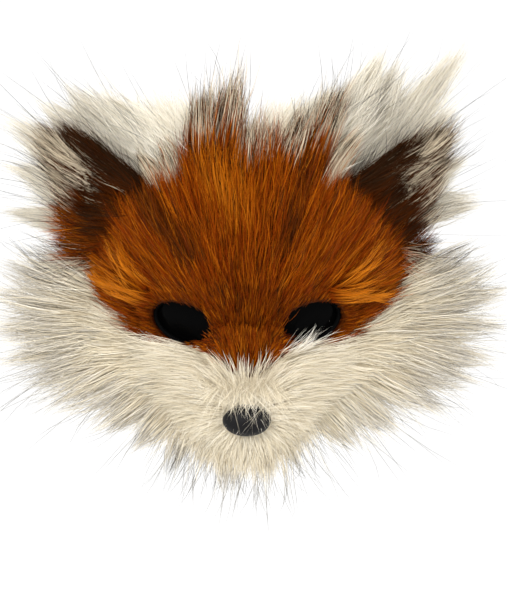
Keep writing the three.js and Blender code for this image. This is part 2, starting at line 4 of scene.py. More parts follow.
import bmesh
import bpy
import numpy as np
from bpy.props import FloatProperty, FloatVectorProperty, IntProperty, PointerProperty
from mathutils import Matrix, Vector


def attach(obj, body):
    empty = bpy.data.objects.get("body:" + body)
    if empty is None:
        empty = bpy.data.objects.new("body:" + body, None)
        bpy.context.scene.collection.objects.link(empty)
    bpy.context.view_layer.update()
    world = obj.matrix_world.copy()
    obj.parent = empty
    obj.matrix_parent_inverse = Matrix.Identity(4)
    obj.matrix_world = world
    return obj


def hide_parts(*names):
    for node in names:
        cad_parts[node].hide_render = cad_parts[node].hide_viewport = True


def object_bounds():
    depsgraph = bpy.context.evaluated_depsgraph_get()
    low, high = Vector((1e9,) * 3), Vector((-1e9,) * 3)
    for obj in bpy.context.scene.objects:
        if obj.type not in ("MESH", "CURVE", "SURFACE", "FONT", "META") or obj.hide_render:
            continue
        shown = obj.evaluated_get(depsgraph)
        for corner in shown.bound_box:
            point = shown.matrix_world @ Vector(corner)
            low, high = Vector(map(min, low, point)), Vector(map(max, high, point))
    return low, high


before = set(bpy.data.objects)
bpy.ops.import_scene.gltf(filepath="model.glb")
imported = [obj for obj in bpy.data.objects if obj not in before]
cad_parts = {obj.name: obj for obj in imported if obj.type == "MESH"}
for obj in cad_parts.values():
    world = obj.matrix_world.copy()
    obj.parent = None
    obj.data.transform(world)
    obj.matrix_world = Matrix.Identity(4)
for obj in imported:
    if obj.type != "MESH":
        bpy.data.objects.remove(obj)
CAD_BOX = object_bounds()

bl_info = {
    "name": "Fur Half Mask",
    "version": (1, 0, 0),
    "blender": (4, 5, 0),
    "location": "3D View > Sidebar > Mask",
    "description": "Builds the long-pile fur, lenses, nose and studio of a costume half mask",
    "category": "Object",
}

MM = 0.001

# The shell that the fur grows on, in millimetres: the same sizes as the solids have
SHELL_WALL = 1.8
SEAT_GAP = 0.4
HALF_WIDTH = 78.0
RISE = 68.0
DROP = 54.0
TEMPLE_WRAP = 42.0
FOREHEAD_LEAN = 13.0
MUZZLE_REACH = 36.0
MUZZLE_HALF_WIDTH = 25.0
BRIDGE_HALF_WIDTH = 13.0
MUZZLE_FULL_DROP = 34.0
SEAM_DROP = 18.0
NOSE_DROP = 33.5

EYE_SPACING = 66.0
EYE_DROP = 2.5
EYE_SIZE = (31.0, 22.5)
EYE_SLANT = math.radians(3)
LENS_WALL = 1.5
LENS_LAP = 3.5

NOSE_SIZE = (24.0, 15.0, 16.0)
NOSE_PROUD = 6.5
NOSE_TILT = math.radians(-14)

EAR_HEIGHT = 50.0
EAR_WALL = 4.0
EAR_CUP = 12.0
EAR_SPLAY = math.radians(29)
EAR_FORWARD = math.radians(11)
EAR_ROOT_SHARES = (0.56, 1.02)
EAR_PILE = 30.0

MASS_DEPTH = 10.0
MASS_RISE = 22.0
MASS_LAP = 9.0
MASS_LAP_DEPTH = 3.0
MASS_SET_BACK = 2.0
MASS_EAR_GAP = 2.0
MASS_RUN_SHARES = (0.03, 0.9)
MASS_LOCK_ROOT = 0.55
MASS_PILE = 62.0

FUR_OVERHANG = 3.0
FUR_EDGE_DEPTH = 4.0
CROWN_PILE = 56.0
CHEEK_PILE = 66.0
BEARD_PILE = 42.0

# The cloth under the hair: its two faces, off the shell's inner face, and how far its edge lies out, as a
# share of the half width
CLOTH_WALL = 2.5
CLOTH_BACK = SHELL_WALL + SEAT_GAP
CLOTH_FRONT = CLOTH_BACK + CLOTH_WALL
FRINGE = 1 + FUR_OVERHANG / HALF_WIDTH
# The cloths' openings are larger than the shell's by this much all round
EYE_HOLE = 1.0
# Hair starts this far under the cloth's face, and this far off the rims of the eye openings
ROOT_SINK = 0.5
EAR_ROOT_SINK = 0.3
EYE_CLEARANCE = 1.2
# The middle of these locks' roots, off the cloth's back
CHEEK_ROOT = 5.0
BEARD_ROOT = 2.4
# How far the cream hair climbs over the seam at the temples
TEMPLE_CLIMB = 8.0

# How many wisps each coat has at full density, and how long its hair is at its shortest and longest
RUST_WISPS = 5900
RUST_LENGTHS = (10.0, 36.0)
CREAM_WISPS = 9800
CREAM_LENGTHS = (13.0, 44.0)
EAR_FRONT_WISPS = 950
EAR_BACK_WISPS = 400
EAR_LENGTHS = (28.0, 32.0)
MASS_WISPS = 700
MASS_LENGTHS = (26.0, 44.0)
# Lengths of the hair round the eye openings, of the gold strands beside them, and of hair that would cover an
# opening if it were longer
RIM_LENGTH = 6.5
STRAND_LENGTH = 25.0
EYE_STUBBLE = 4.0

# Edges of the shell and the seam: (share of the half width, share of the rise or drop)
TOP_EDGE = ((0, 1), (0.3, 0.99), (0.56, 0.9), (0.8, 0.56), (1, 0.2))
BOTTOM_EDGE = ((0, 1), (0.22, 0.97), (0.45, 0.76), (0.75, 0.58), (1, 0.42))
SEAM = ((0, 1.2), (0.3, 0.88), (0.6, 1), (0.85, 0.55), (1, 0.3))

# Locks of the outline, as the solids have them. Places are shares of the half width, of the drop or of the
# piece's own run and height, lengths and widths are shares of the pile, leans and turns are in degrees, and
# rear is how far a lock points back.
# across, length, width, lean
CROWN_LOCKS = (
    (-0.5, 0.5, 0.22, -30), (-0.4, 0.6, 0.24, -18), (-0.27, 0.98, 0.26, 2), (-0.16, 1.16, 0.3, 9),
    (-0.04, 0.7, 0.28, 6), (0.09, 0.6, 0.28, 4), (0.22, 0.74, 0.28, 14), (0.35, 1.06, 0.28, 18),
    (0.46, 0.72, 0.24, 30),
)
# across, height, length, width, turn, rear
CHEEK_LOCKS = (
    (0.98, 0.04, 0.84, 0.28, 32, 0.1), (0.96, -0.08, 0.96, 0.3, 21, 0.08), (0.95, -0.18, 1.04, 0.32, 9, 0.06),
    (0.93, -0.3, 1.06, 0.32, -3, 0.05), (0.88, -0.4, 1.04, 0.32, -14, 0.02),
    (0.78, -0.48, 1.02, 0.32, -20, 0), (0.66, -0.56, 0.92, 0.32, -28, -0.05),
    (0.52, -0.66, 0.76, 0.3, -39, -0.08), (0.38, -0.8, 0.56, 0.28, -46, -0.08),
    (0.7, -0.34, 0.76, 0.3, -4, 0.35), (0.6, -0.5, 0.76, 0.28, -16, 0.3), (0.36, -0.58, 0.62, 0.26, -20, 0.5),
)
# The first of these rows make the outline of the cheek, and the others lie within it
CHEEK_OUTLINE = 9
# across, length, width, lean
BEARD_LOCKS = (
    (-0.33, 1.05, 0.34, -20), (-0.2, 0.6, 0.34, -14), (-0.07, 0.66, 0.36, -6), (0.07, 0.6, 0.36, 6),
    (0.2, 0.56, 0.34, 20), (0.33, 0.5, 0.32, 34),
)
# edge, along, length, width, turn
EAR_LOCKS = (
    (-1, 0.16, 1.0, 0.5, 4), (-1, 0.56, 1.05, 0.5, 2), (1, 0.84, 0.85, 0.42, 6), (1, 0.62, 0.9, 0.46, 16),
    (1, 0.38, 0.95, 0.5, 34), (1, 0.12, 1.0, 0.5, 60),
)
# along, length, width, lean
LEFT_MASS_LOCKS = (
    (0.12, 0.48, 0.34, 26), (0.26, 0.57, 0.34, 35), (0.4, 0.68, 0.36, 44), (0.54, 0.89, 0.38, 43),
    (0.68, 1.1, 0.4, 42), (0.8, 1.2, 0.4, 46), (0.9, 1.32, 0.38, 54), (0.97, 1.16, 0.36, 66),
    (1, 1.06, 0.36, 84),
)
RIGHT_MASS_LOCKS = (
    (0.12, 0.54, 0.34, 26), (0.26, 0.72, 0.34, 28), (0.4, 0.92, 0.36, 28), (0.54, 1.1, 0.36, 27),
    (0.66, 1.12, 0.38, 28), (0.78, 1.1, 0.38, 33), (0.86, 1.62, 0.34, 32), (0.93, 1.2, 0.34, 38),
    (0.98, 1.0, 0.36, 56), (1, 1.0, 0.36, 78),
)
# Share of a lock's length, share of its width; then how thick it is for its width
LOCK_PROFILE = ((0, 0.6), (0.3, 1), (0.65, 0.78), (1, 0))
LOCK_FLATNESS = 0.55
LOCK_STRANDS = 18
# How far wisps and strands stray sideways, as a share of their length
SWAY = 0.045
# The power that a ribbon's width falls with, and how much ribbons turn at random from facing outwards
TAPER = 0.45
TWIST = 0.5

# Beside the crown the rust coat ends just above the shell's edge: distance from the middle, height above it
NOTCH = ((20, 26, 45, 58, 64), (60, 16, 7, 7, 40))
# Streaks of the rust coat: from (x, z), to (x, z), half width, strength
DARK_STREAKS = (
    ((-60, 64), (-24, 26), 6.0, 1.0), ((25, 66), (15, 28), 3.5, 0.8), ((-76, 24), (-66, 36), 8.0, 0.95),
    ((66, 40), (74, 26), 5.0, 0.95),
)
EYE_GOLD = (((-70, 12), (-46, 8), 5.0, 1.0), ((66, 4), (40, 12), 6.0, 1.0))
CROWN_GOLD = (((-14, 66), (-4, 46), 8.0, 0.8),)
# Gold strands beside the eyes: side, (x, z), degrees that they rise, number
GOLD_STRANDS = (
    (-1, (-50, 8), 18, 10), (-1, (-58, 8), 14, 12), (-1, (-66, 10), 16, 8), (-1, (-52, 15), 46, 12),
    (-1, (-56, 21), 44, 8), (1, (42, 12), 2, 12), (1, (52, 8), -4, 12), (1, (48, 17), 30, 10),
    (1, (56, 22), 38, 8),
)


class EarStyle(NamedTuple):
    """How one ear's hair differs from the other's."""

    name: str
    # Where the black streak points, off the ear's tip
    peak: tuple
    # Degrees that the hair leans out, at the root and above it
    comb: tuple
    # Whether a rust fringe grows on the outer edge
    fringed: bool
    # How brown the outer locks and the outer end of the root are
    edge_dark: float
    root_dark: float
    # From where up the outer locks are frosted, and how many hairs the lowest of them has
    frost_from: float
    low_lock_hairs: int


EARS = {
    -1: EarStyle("left", peak=(-8.0, -2.0, 20.0), comb=(88, 46), fringed=True, edge_dark=0.15, root_dark=0.1,
                 frost_from=0.5, low_lock_hairs=170),
    1: EarStyle("right", peak=(5.0, -2.0, 10.0), comb=(48, 40), fringed=False, edge_dark=0.8, root_dark=0.6,
                frost_from=0.2, low_lock_hairs=60),
}

# Each piece of fur draws its own random numbers: what is added to the seed for it
SEEDS = {
    "face_fur_coat": 0, "face_fur_crown": 1, "muzzle_fur_coat": 2, "muzzle_fur_locks": 3, "ear_left_fur": 9,
    "ear_right_fur": 11, "back_fur_left_coat": 19, "back_fur_right_coat": 21,
}

# Camera: the photo's angle, with its place in millimetres
CAMERA_PLACE = (3.4, -428.0, 203.5)
CAMERA_PITCH = math.radians(90 - 24)
CAMERA_LENS = 54.0

# Studio, in metres: the backdrop's profile as (depth, height), and each soft light's size and place
BACKDROP = ((-3.0, 0.0), (1.0, 0.0), (1.6, 0.06), (1.9, 0.35), (2.0, 0.8), (2.0, 4.0))
BACKDROP_HALF_WIDTH = 4.0
FLOOR_DROP = 0.42
KEY_LIGHT = (0.5, (-0.35, -0.75, 0.85))
FILL_LIGHT = (0.7, (0.8, -0.7, 0.35))


def unit(v):
    """Vectors of length one."""
    return v / np.maximum(np.linalg.norm(v, axis=-1, keepdims=True), 1e-9)


def lerp(a, b, t):
    """The value t of the way from a to b."""
    return a + (b - a) * t


def smoothstep(x, low, high):
    """0 below low, 1 above high, and an even rise between."""
    t = np.clip((x - low) / (high - low), 0, 1)
    return t * t * (3 - 2 * t)


def leaning(degrees, side=1, rear=0.0):
    """A direction that leans to the side from upright."""
    angle = np.radians(degrees)
    return unit(np.stack([side * np.sin(angle), np.broadcast_to(rear, np.shape(angle)), np.cos(angle)], -1))


def edge_height(table, across):
    """A table's height at places across the face: cubic curves through its rows, with slopes from the rows
    on both sides."""
    xs, ys = np.array(table, float).T
    at = np.minimum(np.abs(across), 1)
    row = np.clip(np.searchsorted(xs, at), 1, len(xs) - 1)
    low = np.maximum(np.arange(len(xs)) - 1, 0)
    high = np.minimum(np.arange(len(xs)) + 1, len(xs) - 1)
    slopes = (ys[high] - ys[low]) / (xs[high] - xs[low])
    slopes[0] = 0
    span = xs[row] - xs[row - 1]
    t = (at - xs[row - 1]) / span
    return (
        (2 * t**3 - 3 * t**2 + 1) * ys[row - 1]
        + (t**3 - 2 * t**2 + t) * span * slopes[row - 1]
        + (3 * t**2 - 2 * t**3) * ys[row]
        + (t**3 - t**2) * span * slopes[row]
    )


def top_edge(across):
    """Height of the shell's upper edge."""
    return RISE * edge_height(TOP_EDGE, across)


def bottom_edge(across):
    """Height of the shell's lower edge."""
    return -DROP * edge_height(BOTTOM_EDGE, across)


def seam_line(across):
    """Height of the seam between the two cloths."""
    return -SEAM_DROP * edge_height(SEAM, across)


def rust_top(across):
    """Height of the rust cloth's upper edge, past the shell's."""
    return top_edge(across) + FUR_OVERHANG


def cream_bottom(across):
    """Height of the cream cloth's lower edge, past the shell's."""
    return bottom_edge(across) - FUR_OVERHANG


def coat_line(across):
    """Where the rust hair ends and the cream hair begins: the seam, and above it at the temples."""
    return seam_line(across) + TEMPLE_CLIMB * smoothstep(np.abs(across), 0.55, 0.85)


def face_depth(x, z):
    """Depth of the shell's inner face: the wrap round the temples and the lean of the forehead, less the
    muzzle, a ridge that widens and stands out below the bridge."""
    wrap = TEMPLE_WRAP * (np.abs(x) / HALF_WIDTH) ** 2.2
    lean = FOREHEAD_LEAN * (np.maximum(z, 0) / RISE) ** 1.5
    out = smoothstep(-z, 0, MUZZLE_FULL_DROP)
    half_width = lerp(BRIDGE_HALF_WIDTH, MUZZLE_HALF_WIDTH, out)
    return wrap + lean - MUZZLE_REACH * out * np.exp(-((x / half_width) ** 2))


def face_point(x, z):
    """Points of the shell's inner face."""
    return np.stack([x, face_depth(x, z), z], -1)


def face_normal(x, z):
    """The direction out of the face, from small steps across and up."""
    step = 0.5
    right = face_point(x + step, z) - face_point(x - step, z)
    up = face_point(x, z + step) - face_point(x, z - step)
    return unit(np.cross(right, up))


def off_face(x, z, out):
    """Points in front of the shell's inner face by a distance along the normal."""
    x, z = np.broadcast_arrays(np.asarray(x, float), np.asarray(z, float))
    return face_point(x, z) + face_normal(x, z) * np.asarray(out)[..., None]


def combed(x, z):
    """Where hair lies flat it runs away from the nose, along the surface. On the cheeks and beside the eyes
    it is combed flatter, and on the steep sides of the muzzle it stands out more."""
    cheek = smoothstep(-z, -2, 12) * smoothstep(np.abs(x), 6, 20)
    temple = smoothstep(-z, -30, -6) * smoothstep(np.abs(x), 38, 58)
    flat = lerp(1.0, 0.35, np.maximum(cheek, temple))
    away = unit(np.stack([x, np.zeros_like(x), (z + NOSE_DROP) * flat], -1))
    normal = face_normal(x, z)
    stand = 1 - 0.5 * smoothstep(-z, 8, 20) * smoothstep(40 - np.abs(x), 0, 15)
    return unit(away - normal * (stand * (away * normal).sum(-1))[..., None])


def eye_radius(x, z, grow):
    """How far a place on the face lies from the middle of its eye, where 1 is the rim of the opening, larger
    by grow."""
    side = np.sign(x)
    dx, z = x - side * EYE_SPACING / 2, z + EYE_DROP
    along = dx * math.cos(EYE_SLANT) + side * z * math.sin(EYE_SLANT)
    up = z * math.cos(EYE_SLANT) - side * dx * math.sin(EYE_SLANT)
    return np.hypot(along / (EYE_SIZE[0] / 2 + grow), up / (EYE_SIZE[1] / 2 + grow))


def clear_of_eyes(root, ahead, length):
    """Shorter hairs where the full length would lie over an eye opening."""
    over = [eye_radius(*(root + ahead * (length * part)[:, None])[:, ::2].T, 0.5) < 1
            for part in (0.2, 0.4, 0.6, 0.8, 1.0)]
    return np.where(np.any(over, axis=0), EYE_STUBBLE, length)


EAR_FRONT = np.array([0, -math.cos(EAR_FORWARD), -math.sin(EAR_FORWARD)])
IN_FRONT = np.array([0.0, -1.0, 0.0])


def ear_axis(side):
    """The way an ear points: it splays outwards and tips forward."""
    return np.array([
        side * math.sin(EAR_SPLAY) * math.cos(EAR_FORWARD),
        -math.sin(EAR_FORWARD),
        math.cos(EAR_SPLAY) * math.cos(EAR_FORWARD),
    ])


def ear_point(side, s, t, out):
    """Points of an ear: s from the inner edge to the outer one, t from the root to the tip. The root follows
    the shell's top edge, the edges draw in towards the tip, and the middle is hollow."""
    def root(at):
        across = lerp(*EAR_ROOT_SHARES, (at + 1) / 2)
        return off_face(side * across * HALF_WIDTH, top_edge(across) + 2 * SEAT_GAP, SHELL_WALL / 2)

    s, t = np.asarray(s, float), np.asarray(t, float)
    hollow = EAR_CUP * (1 - s**2) * np.sin(np.pi * t**0.8) ** 2
    middle = root(np.zeros_like(s))
    point = middle + (root(s) - middle) * ((1 - t) ** 0.7)[..., None]
    return point + ear_axis(side) * (EAR_HEIGHT * t)[..., None] + EAR_FRONT * (out - hollow)[..., None]


def mass_point(side, along, up, out):
    """Points of the backing behind an ear: along from the middle outwards, up from its lap behind the shell
    to its top, out from its front to its back."""
    across = lerp(*MASS_RUN_SHARES, along)
    edge = top_edge(across)
    rise = lerp(-MASS_LAP, MASS_RISE, up)
    point = face_point(side * across * HALF_WIDTH, edge + np.minimum(rise, 0))
    back = smoothstep(rise, -MASS_LAP / 2, MASS_RISE / 2)
    behind_ear = lerp(MASS_SET_BACK, EAR_CUP + EAR_WALL / 2 + MASS_EAR_GAP, smoothstep(across, 0.4, 0.65))
    point[..., 2] = edge + rise
    point[..., 1] += SEAT_GAP + behind_ear * back + out * lerp(MASS_LAP_DEPTH, MASS_DEPTH, back)
    return point


def grid(columns, rows):
    """Two parameters from 0 to 1 on a grid, s along its rows and t up its columns."""
    return np.meshgrid(np.linspace(0, 1, columns + 1), np.linspace(0, 1, rows + 1))


def disk(columns):
    """A grid bent into a round disk without a pole: two numbers from -1 to 1, both drawn in towards the
    corners, so that the edge of the grid lies on the circle."""
    s, t = grid(columns, columns)
    a, b = 2 * s - 1, 2 * t - 1
    return a * np.sqrt(1 - b**2 / 2), b * np.sqrt(1 - a**2 / 2)


def cells(values):
    """The middle of each cell of a grid of numbers."""
    return (values[1:, 1:] + values[1:, :-1] + values[:-1, 1:] + values[:-1, :-1]) / 4


def closed_sheet(front, back, kept=None):
    """A closed sheet between two grids of points, as points and quads. kept says of each cell whether it is
    there, and a wall closes every edge between one that is and one that isn't."""
    rows, columns = front.shape[0] - 1, front.shape[1] - 1
    kept = np.ones((rows, columns), bool) if kept is None else kept
    wide, layer = columns + 1, (columns + 1) * (rows + 1)
    row, column = np.nonzero(kept)
    corner = row * wide + column
    face = np.stack([corner, corner + 1, corner + 1 + wide, corner + wide], -1)
    padded = np.pad(kept, 1)
    here, left, below = padded[1:, 1:], padded[1:, :-1], padded[:-1, 1:]
    walls = []
    for gone, there, across in (
        (left, here, False), (here, left, False), (below, here, True), (here, below, True),
    ):
        row, column = np.nonzero(there & ~gone)
        a = row * wide + column
        b = a + (1 if across else wide)
        turned = (gone is here) != across
        first, second = (b, a) if turned else (a, b)
        walls.append(np.stack([first, second, layer + second, layer + first], -1))
    points = np.concatenate([front.reshape(-1, 3), back.reshape(-1, 3)])
    return points, np.concatenate([face, layer + face[:, ::-1], *walls])


def face_sheet(low, high, reach, inner, outer, hole, columns, rows):
    """A closed sheet over the face between two heights and two distances off the shell's inner face, with the
    eye openings cut out, larger by hole. The points beside a cut are moved onto its ellipse."""
    s, t = grid(columns, rows)
    across = lerp(-reach, reach, s)
    x, z = across * HALF_WIDTH, lerp(low(across), high(across), t)
    kept = eye_radius(cells(x), cells(z), hole) > 1
    around = np.pad(kept, 1, constant_values=True).astype(int)
    neighbours = around[1:, 1:] + around[1:, :-1] + around[:-1, 1:] + around[:-1, :-1]
    rim = (neighbours > 0) & (neighbours < 4)
    centre = np.sign(x) * EYE_SPACING / 2
    radius = np.where(rim, eye_radius(x, z, hole), 1.0)
    x, z = centre + (x - centre) / radius, (z + EYE_DROP) / radius - EYE_DROP
    return closed_sheet(off_face(x, z, outer), off_face(x, z, inner), kept)


def mesh_from(name, points, loops, sizes):
    """A mesh from whole arrays: points, the corner indices of all faces in a row, and the faces' sizes."""
    mesh = bpy.data.meshes.new(name)
    mesh.vertices.add(len(points))
    mesh.vertices.foreach_set("co", points.astype("f").ravel())
    mesh.loops.add(len(loops))
    mesh.loops.foreach_set("vertex_index", loops.astype("i"))
    mesh.polygons.add(len(sizes))
    starts = np.concatenate([[0], np.cumsum(sizes)[:-1]])
    mesh.polygons.foreach_set("loop_start", starts.astype("i"))
    mesh.polygons.foreach_set("loop_total", np.asarray(sizes, "i"))
    mesh.polygons.foreach_set("use_smooth", np.ones(len(sizes), bool))
    mesh.update()
    mesh.validate()
    return mesh


def sheet_mesh(name, sheet):
    """A mesh of a closed sheet in millimetres."""
    points, quads = sheet
    return mesh_from(name, points * MM, quads.ravel(), np.full(len(quads), 4))


def place(mesh, material, slot, *nodes):
    """Shows a mesh as a piece of the mask, in place of CAD nodes."""
    piece = bpy.data.objects.new(mesh.name, mesh)
    bpy.context.scene.collection.objects.link(piece)
    mesh.materials.append(material)
    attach(piece, "root")
    if nodes:
        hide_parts(*nodes)


# What the fur's material reads of each hair: tone is a random number for each hair and wisp one for each
# wisp, dark mixes in brown, which round the eye openings and in the ears' hollows is partly painted shade,
# pale turns the hair whitish, and frost its outer part: frosted tips on the rust fur, grey painted
# shade of the ends on the cream and pale furs; tip blackens the end, and gold brightens the body
LOOKS = ("tone", "wisp", "dark", "pale", "frost", "tip", "gold")


def look_table(looks, count):
    """The looks of hairs or points as columns; one that isn't named is 0."""
    return np.stack([np.broadcast_to(looks.get(name, 0.0), count) for name in LOOKS], -1)


class Some(NamedTuple):
    """A look that a random share of the hairs has, and how strongly."""

    share: float
    strength: float = 1.0


class Hair:
    """Hairs as tapered ribbons, each a line of points with a width and its looks."""

    def __init__(self, seed, width, density, limits):
        self.rng = np.random.default_rng(seed)
        self.limits = limits
        self.width = width
        self.density = density
        self.lines = []

    def many(self, count):
        """A number of hairs or wisps at the chosen density."""
        return max(2, int(count * self.density))

    def some(self, share, count):
        """1 for a random share of the hairs, and 0 for the others."""
        return (self.rng.random(count) < share).astype(float)

    def drawn(self, looks, count):
        """Looks with each Some worked out for so many hairs."""
        return {name: value.strength * self.some(value.share, count) if isinstance(value, Some) else value
                for name, value in looks.items()}

    def add(self, line, out, thickness, looks):
        """Hairs from an array of lines, (hairs, points, 3), that lie on a surface whose outward side is out.
        Those that would leave the mask's box are dropped."""
        low, high = self.limits
        inside = ((line > low) & (line < high)).all((1, 2))
        out = np.broadcast_to(out, (len(line), 3))[inside]
        looks = {name: value[inside] if np.ndim(value) else value for name, value in looks.items()}
        line = line[inside]
        count = len(line)
        width = self.width * thickness * self.rng.uniform(0.7, 1.3, count)
        looks = {"tone": self.rng.random(count), **looks}
        self.lines.append((line, out, width, look_table(looks, count)))

    def wisps(self, root, ahead, out, length, hairs=6, spread=2.2, lift=0.3, lay=0.1, pull=0.3, jitter=0.06,
              fan=0.06, uneven=0.55, points=5, droop=0.0, thickness=1.0, **looks):
        """Wisps: round each root the hairs start within spread, run ahead, rise off the surface, and draw
        together towards the tip. lift is how far they rise, and lay how far they come down again, as shares
        of their length; droop bends them down by a share of it. fan is how far wisps differ in direction, and
        jitter how far hairs do; uneven is the shortest hair's share."""
        rng = self.rng
        n = len(root)
        looks = self.drawn(looks, n)
        ahead = unit(ahead + rng.normal(0, fan, (n, 3)))
        each = np.repeat(np.arange(n), hairs)
        root, ahead, out = (np.broadcast_to(v, (n, 3))[each] for v in (root, ahead, out))
        side = unit(np.cross(ahead, out))
        off = rng.normal(0, 0.5, (2, n * hairs, 1)) * spread
        start = side * off[0] + ahead * off[1]
        size = (np.broadcast_to(length, n)[each] * rng.uniform(uneven, 1.1, n * hairs))[:, None, None]
        t = np.linspace(0, 1, points)[None, :, None]
        lift = np.broadcast_to(lift, n)[each][:, None, None]
        stray = rng.normal(0, jitter, (n * hairs, 1, 3))
        sway = rng.normal(0, SWAY, (n, 1, 3))[each]
        line = (
            root[:, None]
            + start[:, None] * (1 - pull * t**1.3)
            + ahead[:, None] * size * t
            + out[:, None] * size * (lift * (1 - (1 - t) ** 2) - lay * t**2)
            + (stray * t**1.6 + sway * np.sin(np.pi * t)) * size
            + np.array([0, 0, -1.0]) * droop * size * t**2
        )
        looks = {name: value[each] if np.ndim(value) else value for name, value in looks.items()}
        self.add(line, out, thickness, {"wisp": rng.random(n)[each], **looks})

    def lock(self, root, ahead, out, length, width, hairs, lift=0.1, end=None, points=5, ragged=0.22,
             open_tip=0.28, thickness=1.0, frost_from=-1.0, **looks):
        """One lock of the outline: hairs inside a flattened spindle round a curve that leaves the root and
        ends at the tip. They lie in strands, and each strand keeps its place in the spindle, strays a little
        and has a length of its own. open_tip is the share of the width that is left at the tip, and only
        hairs that start past frost_from of the length get frost: frosted tips on the rust fur, grey
        painted shade on the cream and pale furs."""
        rng = self.rng
        hairs = self.many(hairs)
        looks = self.drawn(looks, hairs)
        end = ahead if end is None else end
        middle = root + ahead * length * 0.5 + out * lift * length
        tip = root + end * length
        strand = rng.integers(0, LOCK_STRANDS, hairs)
        angle = rng.uniform(0, 2 * np.pi, LOCK_STRANDS)
        radius = np.sqrt(rng.random(LOCK_STRANDS)) * 0.9
        spot = np.stack([radius * np.cos(angle), radius * np.sin(angle)], -1)[strand]
        spot = spot + rng.normal(0, 0.22, (hairs, 2))
        reach = rng.uniform(1 - ragged, 1.08, LOCK_STRANDS)[strand] * rng.uniform(0.88, 1.05, hairs)
        begin = rng.uniform(-0.02, 0.5, hairs)
        t = begin[:, None] + (reach - begin)[:, None] * np.linspace(0, 1, points)
        u = t[..., None]
        curve = root * (1 - u) ** 2 + 2 * middle * u * (1 - u) + tip * u**2
        run = unit(2 * (middle - root) * (1 - u) + 2 * (tip - middle) * u)
        side = unit(np.cross(run, out))
        thin = np.cross(side, run)
        swell = lerp(open_tip, 1.0, np.interp(t, *np.array(LOCK_PROFILE).T)[..., None])
        drift = rng.normal(0, SWAY, (LOCK_STRANDS, 1, 3))[strand] + rng.normal(0, 0.03, (hairs, 1, 3))
        looks["frost"] = looks.get("frost", 0.0) * (begin > frost_from)
        line = (
            curve
            + side * swell * width / 2 * spot[:, None, :1]
            + thin * swell * width / 2 * LOCK_FLATNESS * spot[:, None, 1:]
            + drift * length * (u - begin[:, None, None]) ** 2
        )
        self.add(line, out, thickness, {"wisp": rng.random(LOCK_STRANDS)[strand], **looks})

    def between(self, anchors, count, share, **shape):
        """Wisps all along a row of locks: each takes its root, direction, outward side and length from a
        random place between two neighbours. share is how long they are, as a span of shares of the locks."""
        count = self.many(count)
        shape = self.drawn(shape, count)
        at = self.rng.uniform(0, len(anchors) - 1, count)
        rows = np.array([[*root, *ahead, *out, length] for root, ahead, out, length in anchors])
        mixed = np.stack([np.interp(at, np.arange(len(rows)), column) for column in rows.T], -1)
        root, ahead, out, length = np.split(mixed, [3, 6, 9], axis=1)
        length = length[:, 0] * self.rng.uniform(*share, count)
        self.wisps(root, unit(ahead), unit(out), length, **shape)

    def mesh(self, name, cloth=None, cloth_looks=None):
        """All hairs as one mesh of ribbons: two points a step and one at the tip, the width falling towards
        it as a root of the distance left, each ribbon facing roughly outwards. The cloth under them, points
        and quads, is joined in."""
        points, loops, sizes, shares, looks = [], [], [], [], []
        first = 0
        for line, out, width, table in self.lines:
            n, k, _ = line.shape
            run = unit(np.gradient(line, axis=1))
            facing = unit(out[:, None] + self.rng.normal(0, TWIST, (n, 1, 3)))
            aside = unit(np.cross(run, facing))
            along = np.linspace(0, 1, k)
            half = (width[:, None] / 2 * (1 - along) ** TAPER)[..., None]
            pairs = np.stack([line - aside * half, line + aside * half], 2)[:, :-1].reshape(n, 2 * (k - 1), 3)
            per = 2 * (k - 1) + 1
            start = first + np.arange(n)[:, None, None] * per
            rung = 2 * np.arange(k - 2)[None, :, None]
            quads = start + rung + np.array([0, 1, 3, 2])
            tips = start[:, 0] + 2 * (k - 2) + np.array([0, 1, 2])
            points.append(np.concatenate([pairs, line[:, -1:]], 1).reshape(-1, 3))
            loops += [quads.reshape(-1), tips.reshape(-1)]
            sizes += [np.full(n * (k - 2), 4), np.full(n, 3)]
            shares.append(np.tile(np.concatenate([np.repeat(along[:-1], 2), along[-1:]]), n))
            looks.append(np.repeat(table, per, axis=0))
            first += n * per
        if cloth:
            corners, quads = cloth
            points.append(corners)
            loops.append((quads + first).reshape(-1))
            sizes.append(np.full(len(quads), 4))
            shares.append(np.zeros(len(corners)))
            looks.append(look_table(cloth_looks or {}, len(corners)))
        mesh = mesh_from(name, np.concatenate(points) * MM, np.concatenate(loops), np.concatenate(sizes))
        columns = (np.concatenate(shares), *np.concatenate(looks).T)
        for key, values in zip(("along", *LOOKS), columns):
            mesh.attributes.new(key, "FLOAT", "POINT").data.foreach_set("value", values.astype("f"))
        return mesh


